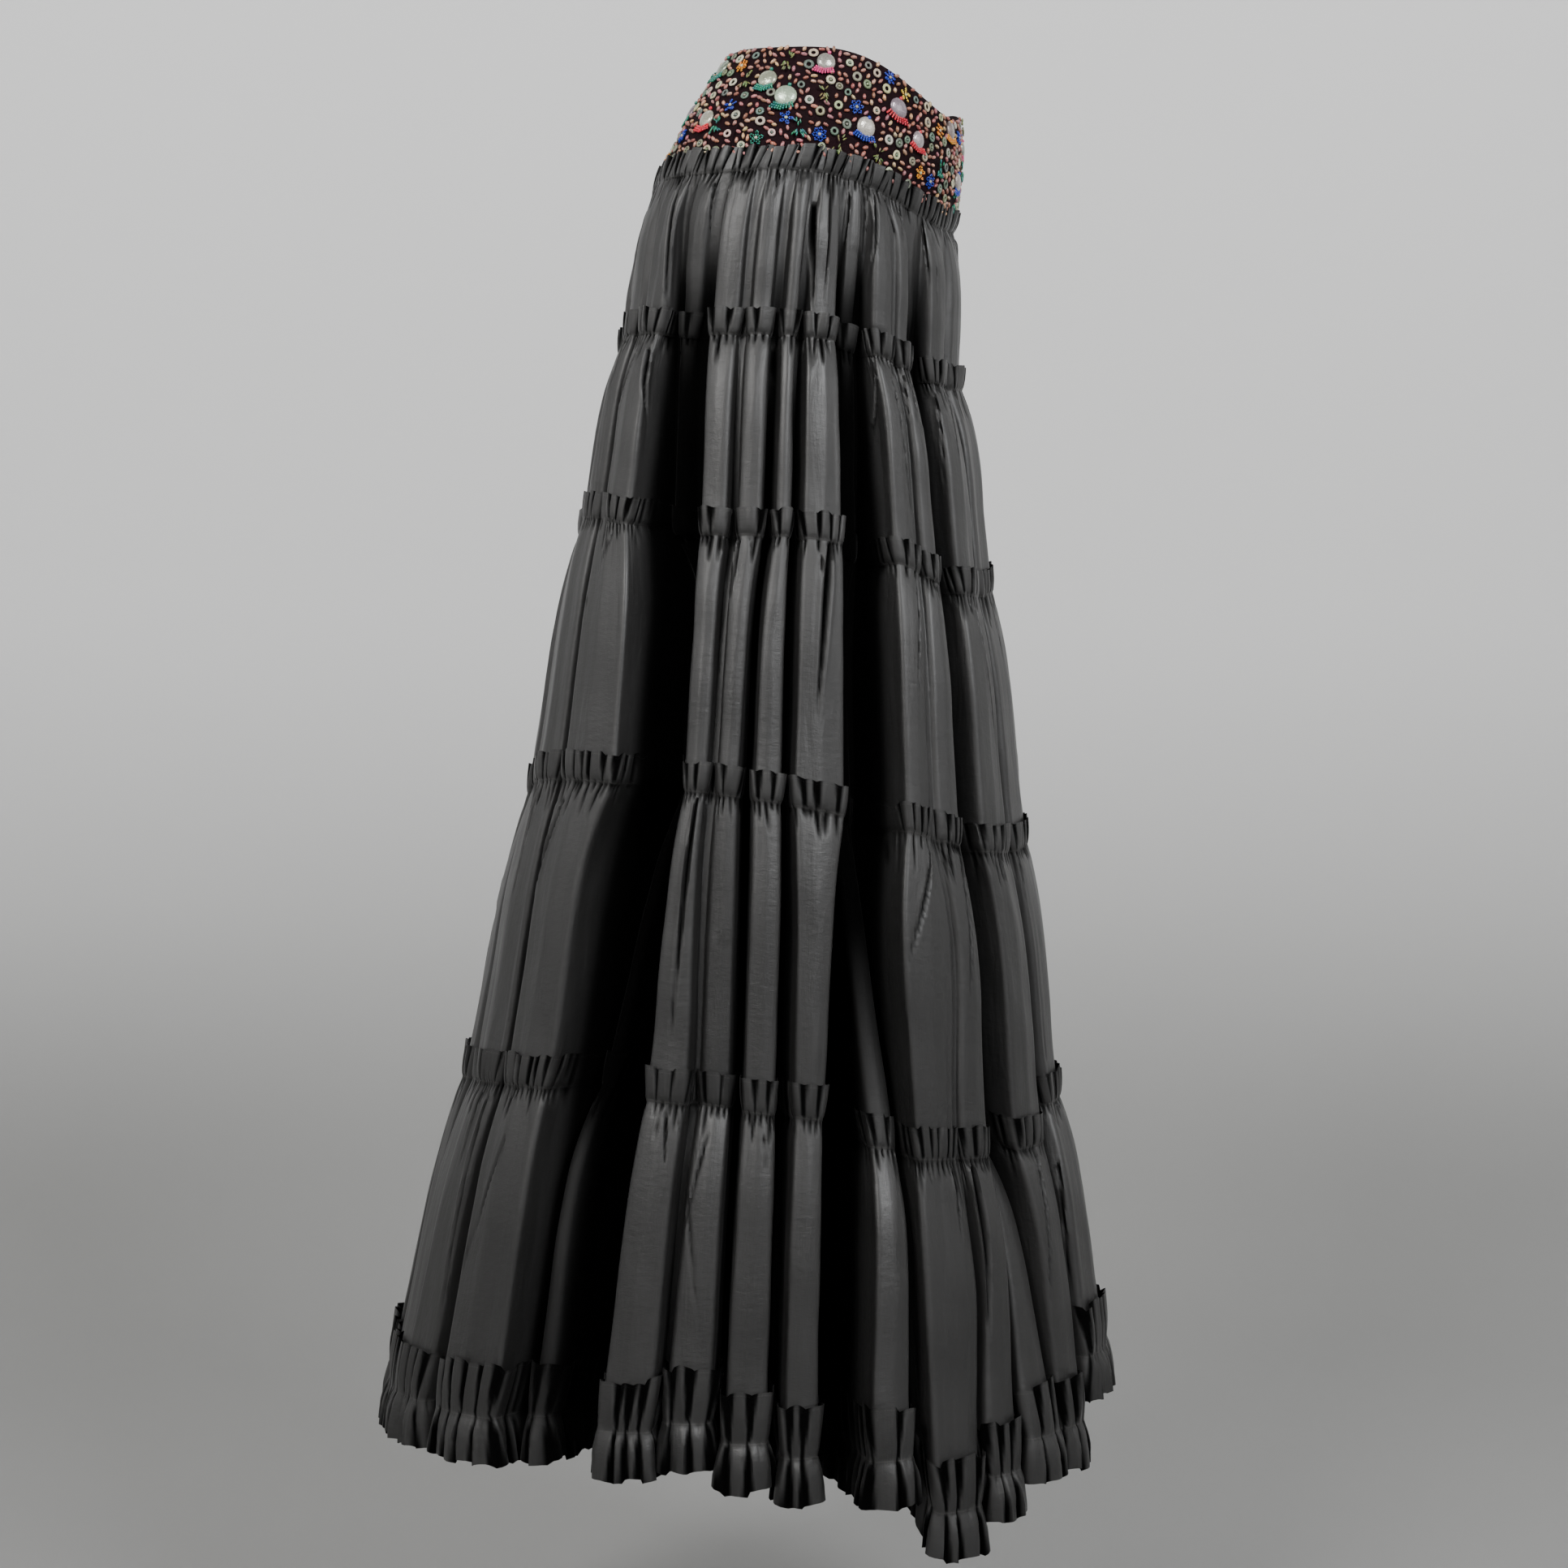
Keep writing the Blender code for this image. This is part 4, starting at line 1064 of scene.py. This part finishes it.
def placeDisc(angle, share):
    # a domed disc with a fringe of small beads hanging from its lower edge
    radius = rng.uniform(*beadwork["discRadius"])
    taken.append((angle, share, radius * 1.02))
    base = frameAt(angle, share, 0.0006, rng.uniform(0, 6.28))
    size = (radius, radius * rng.uniform(0.88, 1.0), beadwork["discThick"])
    addBead("disc", base, size, pick(palette["pearl"]))
    color = palette["fringe"][rng.integers(len(palette["fringe"]))]
    drop = radius / yokeSpec["tall"]
    wide = radius / girth(share) * 360
    addBead("seed", frameAt(angle, share - drop * 0.98, 0.0018, 0), (0.0018, 0.0018, 0.0016), color)
    across, long = beadwork["fringe"]
    for k in range(across):
        lean = 2 * k / (across - 1) - 1
        for j in range(long):
            aside = lean * wide * (0.85 + 0.12 * j)
            down = drop * (0.92 + 0.19 * j - abs(lean) * 0.25)
            spot = frameAt(angle + aside, share + down, 0.0020, 0)
            addBead("seed", spot, (0.0010, 0.0013, 0.0010), varied(color, 0.8, 1.2))
    taken.append((angle, min(1.0, share + drop * 1.1), radius * 0.62))


def placeFlower(angle, share):
    # petals that are each a loop of small beads
    color = palette["fringe"][rng.integers(3, 6)] if rng.random() < 0.7 else palette["fringe"][2]
    taken.append((angle, share, beadwork["flowerRadius"]))
    far, long, wide = beadwork["petal"]
    petals = rng.integers(5, 8)
    spin = rng.uniform(0, 6.28)
    for k in range(petals):
        petal = Matrix.Rotation(spin + 2 * math.pi * k / petals, 4, "Z")
        for j in range(6):
            loop = 2 * math.pi * j / 6
            there = petal @ Vector((far + long * math.cos(loop), wide * math.sin(loop), 0))
            spot = frameAt(angle, share, 0.0016 + 0.0008 * math.sin(loop + k), 0) @ Matrix.Translation(there)
            addBead("seed", spot, (0.0008, 0.0008, 0.0008), varied(color, 0.8, 1.2))
    addBead("seed", frameAt(angle, share, 0.0020, 0), (0.0015, 0.0015, 0.0012), pick(palette["washer"][3:]))


def placeSpray(angle, share):
    # a branching spray of long thin beads
    color = palette["spray"][0 if rng.random() < 0.6 else 1]
    taken.append((angle, share, beadwork["sprayRadius"] + 0.0002))
    for k in range(15):
        turn = rng.uniform(-0.9, 0.9) + (math.pi / 2 if k < 11 else -math.pi / 2)
        far = rng.uniform(*beadwork["sprayReach"])
        root = frameAt(angle, share, 0.0022 + rng.uniform(0, 0.001), 0)
        out = Matrix.Translation((far * math.cos(turn), far * math.sin(turn), 0))
        spot = root @ out @ Matrix.Rotation(turn + rng.uniform(-0.4, 0.4), 4, "Z")
        addBead("rice", spot, (0.0022, 0.0007, 0.0007), varied(color, 0.7, 1.3))


for k in range(beadwork["discs"]):
    column = 4 * k + (k * 5) % 3 - 1
    placeDisc(360 / 96 * column, beadwork["discRows"][(k * 3) % 4])
fromSeam = beadwork["fromSeam"]
for kind, radius, place in (("flowers", "flowerRadius", placeFlower), ("sprays", "sprayRadius", placeSpray)):
    made = 0
    for attempt in range(4000):
        angle, share = rng.uniform(0, 360), rng.uniform(0.06, 0.80)
        if made < beadwork[kind] and isFree(angle, share, beadwork[radius], fromSeam[kind]):
            place(angle, share)
            made += 1
made = 0
for attempt in range(9000):
    angle, share = rng.uniform(0, 360), rng.uniform(0.03, 0.86)
    radius = rng.uniform(*beadwork["washerRadius"])
    if made < beadwork["washers"] and isFree(angle, share, radius * 1.1, fromSeam["washers"]):
        taken.append((angle, share, radius * 1.05))
        spot = frameAt(angle, share, 0.0010, rng.uniform(0, 6.28))
        size = (radius, radius * rng.uniform(0.9, 1.0), 0.0030)
        addBead("ring", spot, size, pick(palette["washer"]))
        if rng.random() < 0.5:
            size = (radius * 0.34, radius * 0.34, 0.0012)
            addBead("seed", frameAt(angle, share, 0.0012, 0), size, pick(palette["washer"][:3]))
        made += 1
made = 0
for attempt in range(26000):
    angle, share = rng.uniform(0, 360), rng.uniform(0.012, 0.90)
    if made < beadwork["rice"] and isFree(angle, share, beadwork["riceRadius"], fromSeam["rice"]):
        taken.append((angle, share, beadwork["riceRadius"] + 0.0002))
        long = rng.uniform(*beadwork["riceLong"])
        spot = frameAt(angle, share, 0.0008, rng.uniform(0, 3.14))
        addBead("rice", spot, (long, rng.uniform(*beadwork["riceWide"]), 0.0015), pick(palette["copper"]))
        made += 1
print("beads placed", {key: len(value) for key, value in beads.items()})


def joinBeads(name, kind, material):
    shape = beadShapes[kind]
    bm = bmesh.new()
    for matrix, color in beads[kind]:
        copy = shape.copy()
        copy.transform(matrix)
        bm.from_mesh(copy)
        bpy.data.meshes.remove(copy)
    mesh = meshFrom(bm, name)
    tints = [(*color, 1.0) for matrix, color in beads[kind]]
    attribute = mesh.color_attributes.new("tint", "FLOAT_COLOR", "POINT")
    attribute.data.foreach_set("color", np.repeat(tints, len(shape.vertices), axis=0).ravel())
    mesh.shade_smooth()
    mesh.materials.append(material)
    obj = addObject(name, mesh)
    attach(obj, "root")
    print(name, sum(len(face.vertices) - 2 for face in mesh.polygons), "triangles")
    return obj


beadPieces = [
    joinBeads("riceBeads", "rice", beadMaterial("copperGlass", 0.25, 0.10, 0.4)),
    joinBeads("ringBeads", "ring", beadMaterial("shellRing", 0.30, 0.0, 0.4)),
    joinBeads("coinDiscs", "disc", beadMaterial("silverShell", 0.22, 0.35, 0.7, 0.3)),
    joinBeads("seedBeads", "seed", beadMaterial("seedGlass", 0.20, 0.0, 0.6)),
]


# Stage, light and camera
studio = {
    "floor": -1.42,
    "flat": 1.70,
    "bend": 0.95,
    "top": 2.6,
    "wall": (0.70, 0.70, 0.70, 1),
    # painted shade: the floor and the foot of the wall are coloured darker, as where less light falls
    "ground": (0.26, 0.26, 0.255, 1),
    "shaded": (-1.30, -0.20),  # heights between which the ground's darker colour, painted shade, becomes the wall's
    "world": (0.75, 0.77, 0.80, 1),
    "worldStrength": 0.06,
}


def makeStudio():
    # a floor that bends up into a round wall, with painted shade making it darker towards the floor
    low, flat, bend = studio["floor"], studio["flat"], studio["bend"]
    profile = [(0.0, low), (flat, low)]
    for k in range(1, 11):
        angle = k * math.pi / 20
        profile.append((flat + bend * math.sin(angle), low + bend * (1 - math.cos(angle))))
    profile.append((flat + bend, studio["top"]))
    bm = bmesh.new()
    corners = [bmesh.ops.create_vert(bm, co=(x, 0, z))["vert"][0] for x, z in profile]
    for first, second in zip(corners[:-1], corners[1:]):
        bm.edges.new((first, second))
    bmesh.ops.spin(bm, geom=list(bm.verts) + list(bm.edges), axis=(0, 0, 1), cent=(0, 0, 0),
                   angle=2 * math.pi, steps=96, use_merge=True)
    bmesh.ops.remove_doubles(bm, verts=bm.verts, dist=1e-5)
    bmesh.ops.recalc_face_normals(bm, faces=bm.faces)
    bmesh.ops.reverse_faces(bm, faces=bm.faces)
    mesh = meshFrom(bm, "backdrop")
    mesh.shade_smooth()
    material, tree, shader = nodeTree("backdrop")
    height = addNode(tree, "ShaderNodeSeparateXYZ", {0: objectPlace(tree)}).outputs[2]
    # painted shade, growing towards the floor
    rise = mapRange(tree, height, *studio["shaded"], interpolation_type="SMOOTHSTEP")
    shade = mixColor(tree, rise, studio["ground"], studio["wall"])
    setInputs(tree, shader, {"Base Color": shade, "Roughness": 0.9})
    mesh.materials.append(material)
    addObject("backdrop", mesh)


makeStudio()


def aimed(obj, place, direction):
    obj.location = place
    obj.rotation_mode = "QUATERNION"
    obj.rotation_quaternion = direction.to_track_quat("-Z", "Y")


viewing = {"azimuth": -65, "distance": 2.1, "aside": -0.0493, "height": -0.5765, "lens": 56.3}
turn = math.radians(viewing["azimuth"])
towards = Vector((math.sin(turn), -math.cos(turn), 0))
sideways = Vector((math.cos(turn), math.sin(turn), 0))


def fromCamera(right, up, forward):
    # a place in the camera's own directions, about the middle of the waist
    return sideways * right + Vector((0, 0, up)) + towards * forward


camera = addObject("camera", bpy.data.cameras.new("camera"))
aimed(camera, fromCamera(viewing["aside"], viewing["height"], viewing["distance"]), -towards)
camera.data.lens = viewing["lens"]
camera.data.sensor_width = 36
scene.camera = camera


def addLight(name, place, aim, size, power, color):
    light = bpy.data.lights.new(name, "AREA")
    light.energy = power
    light.color = color
    light.shape = "RECTANGLE"
    light.size, light.size_y = size
    aimed(addObject(name, light), place, Vector(aim) - place)


warm, cool = (1, 0.99, 0.97), (0.98, 0.99, 1)
upperPart, middlePart = (0, 0.05, -0.30), (0, 0.05, -0.55)
addLight("keyLight", fromCamera(-1.30, 1.10, 2.3), upperPart, (0.8, 0.9), 130, warm)
addLight("fillLight", fromCamera(1.40, 1.00, 2.2), upperPart, (0.8, 0.9), 112, cool)
addLight("leftLight", fromCamera(-2.5, 0.45, 0.7), middlePart, (1.0, 1.2), 16, warm)
addLight("rightLight", fromCamera(2.5, 0.35, 0.7), middlePart, (1.0, 1.2), 15, cool)
addLight("wallLight", fromCamera(0.0, 1.9, -0.75), fromCamera(0, 0.1, -2.6), (3.0, 0.5), 40, (1, 1, 1))
world = bpy.data.worlds.new("studio")
scene.world = world
world.use_nodes = True
background = world.node_tree.nodes["Background"]
setInputs(world.node_tree, background, {"Color": studio["world"], "Strength": studio["worldStrength"]})
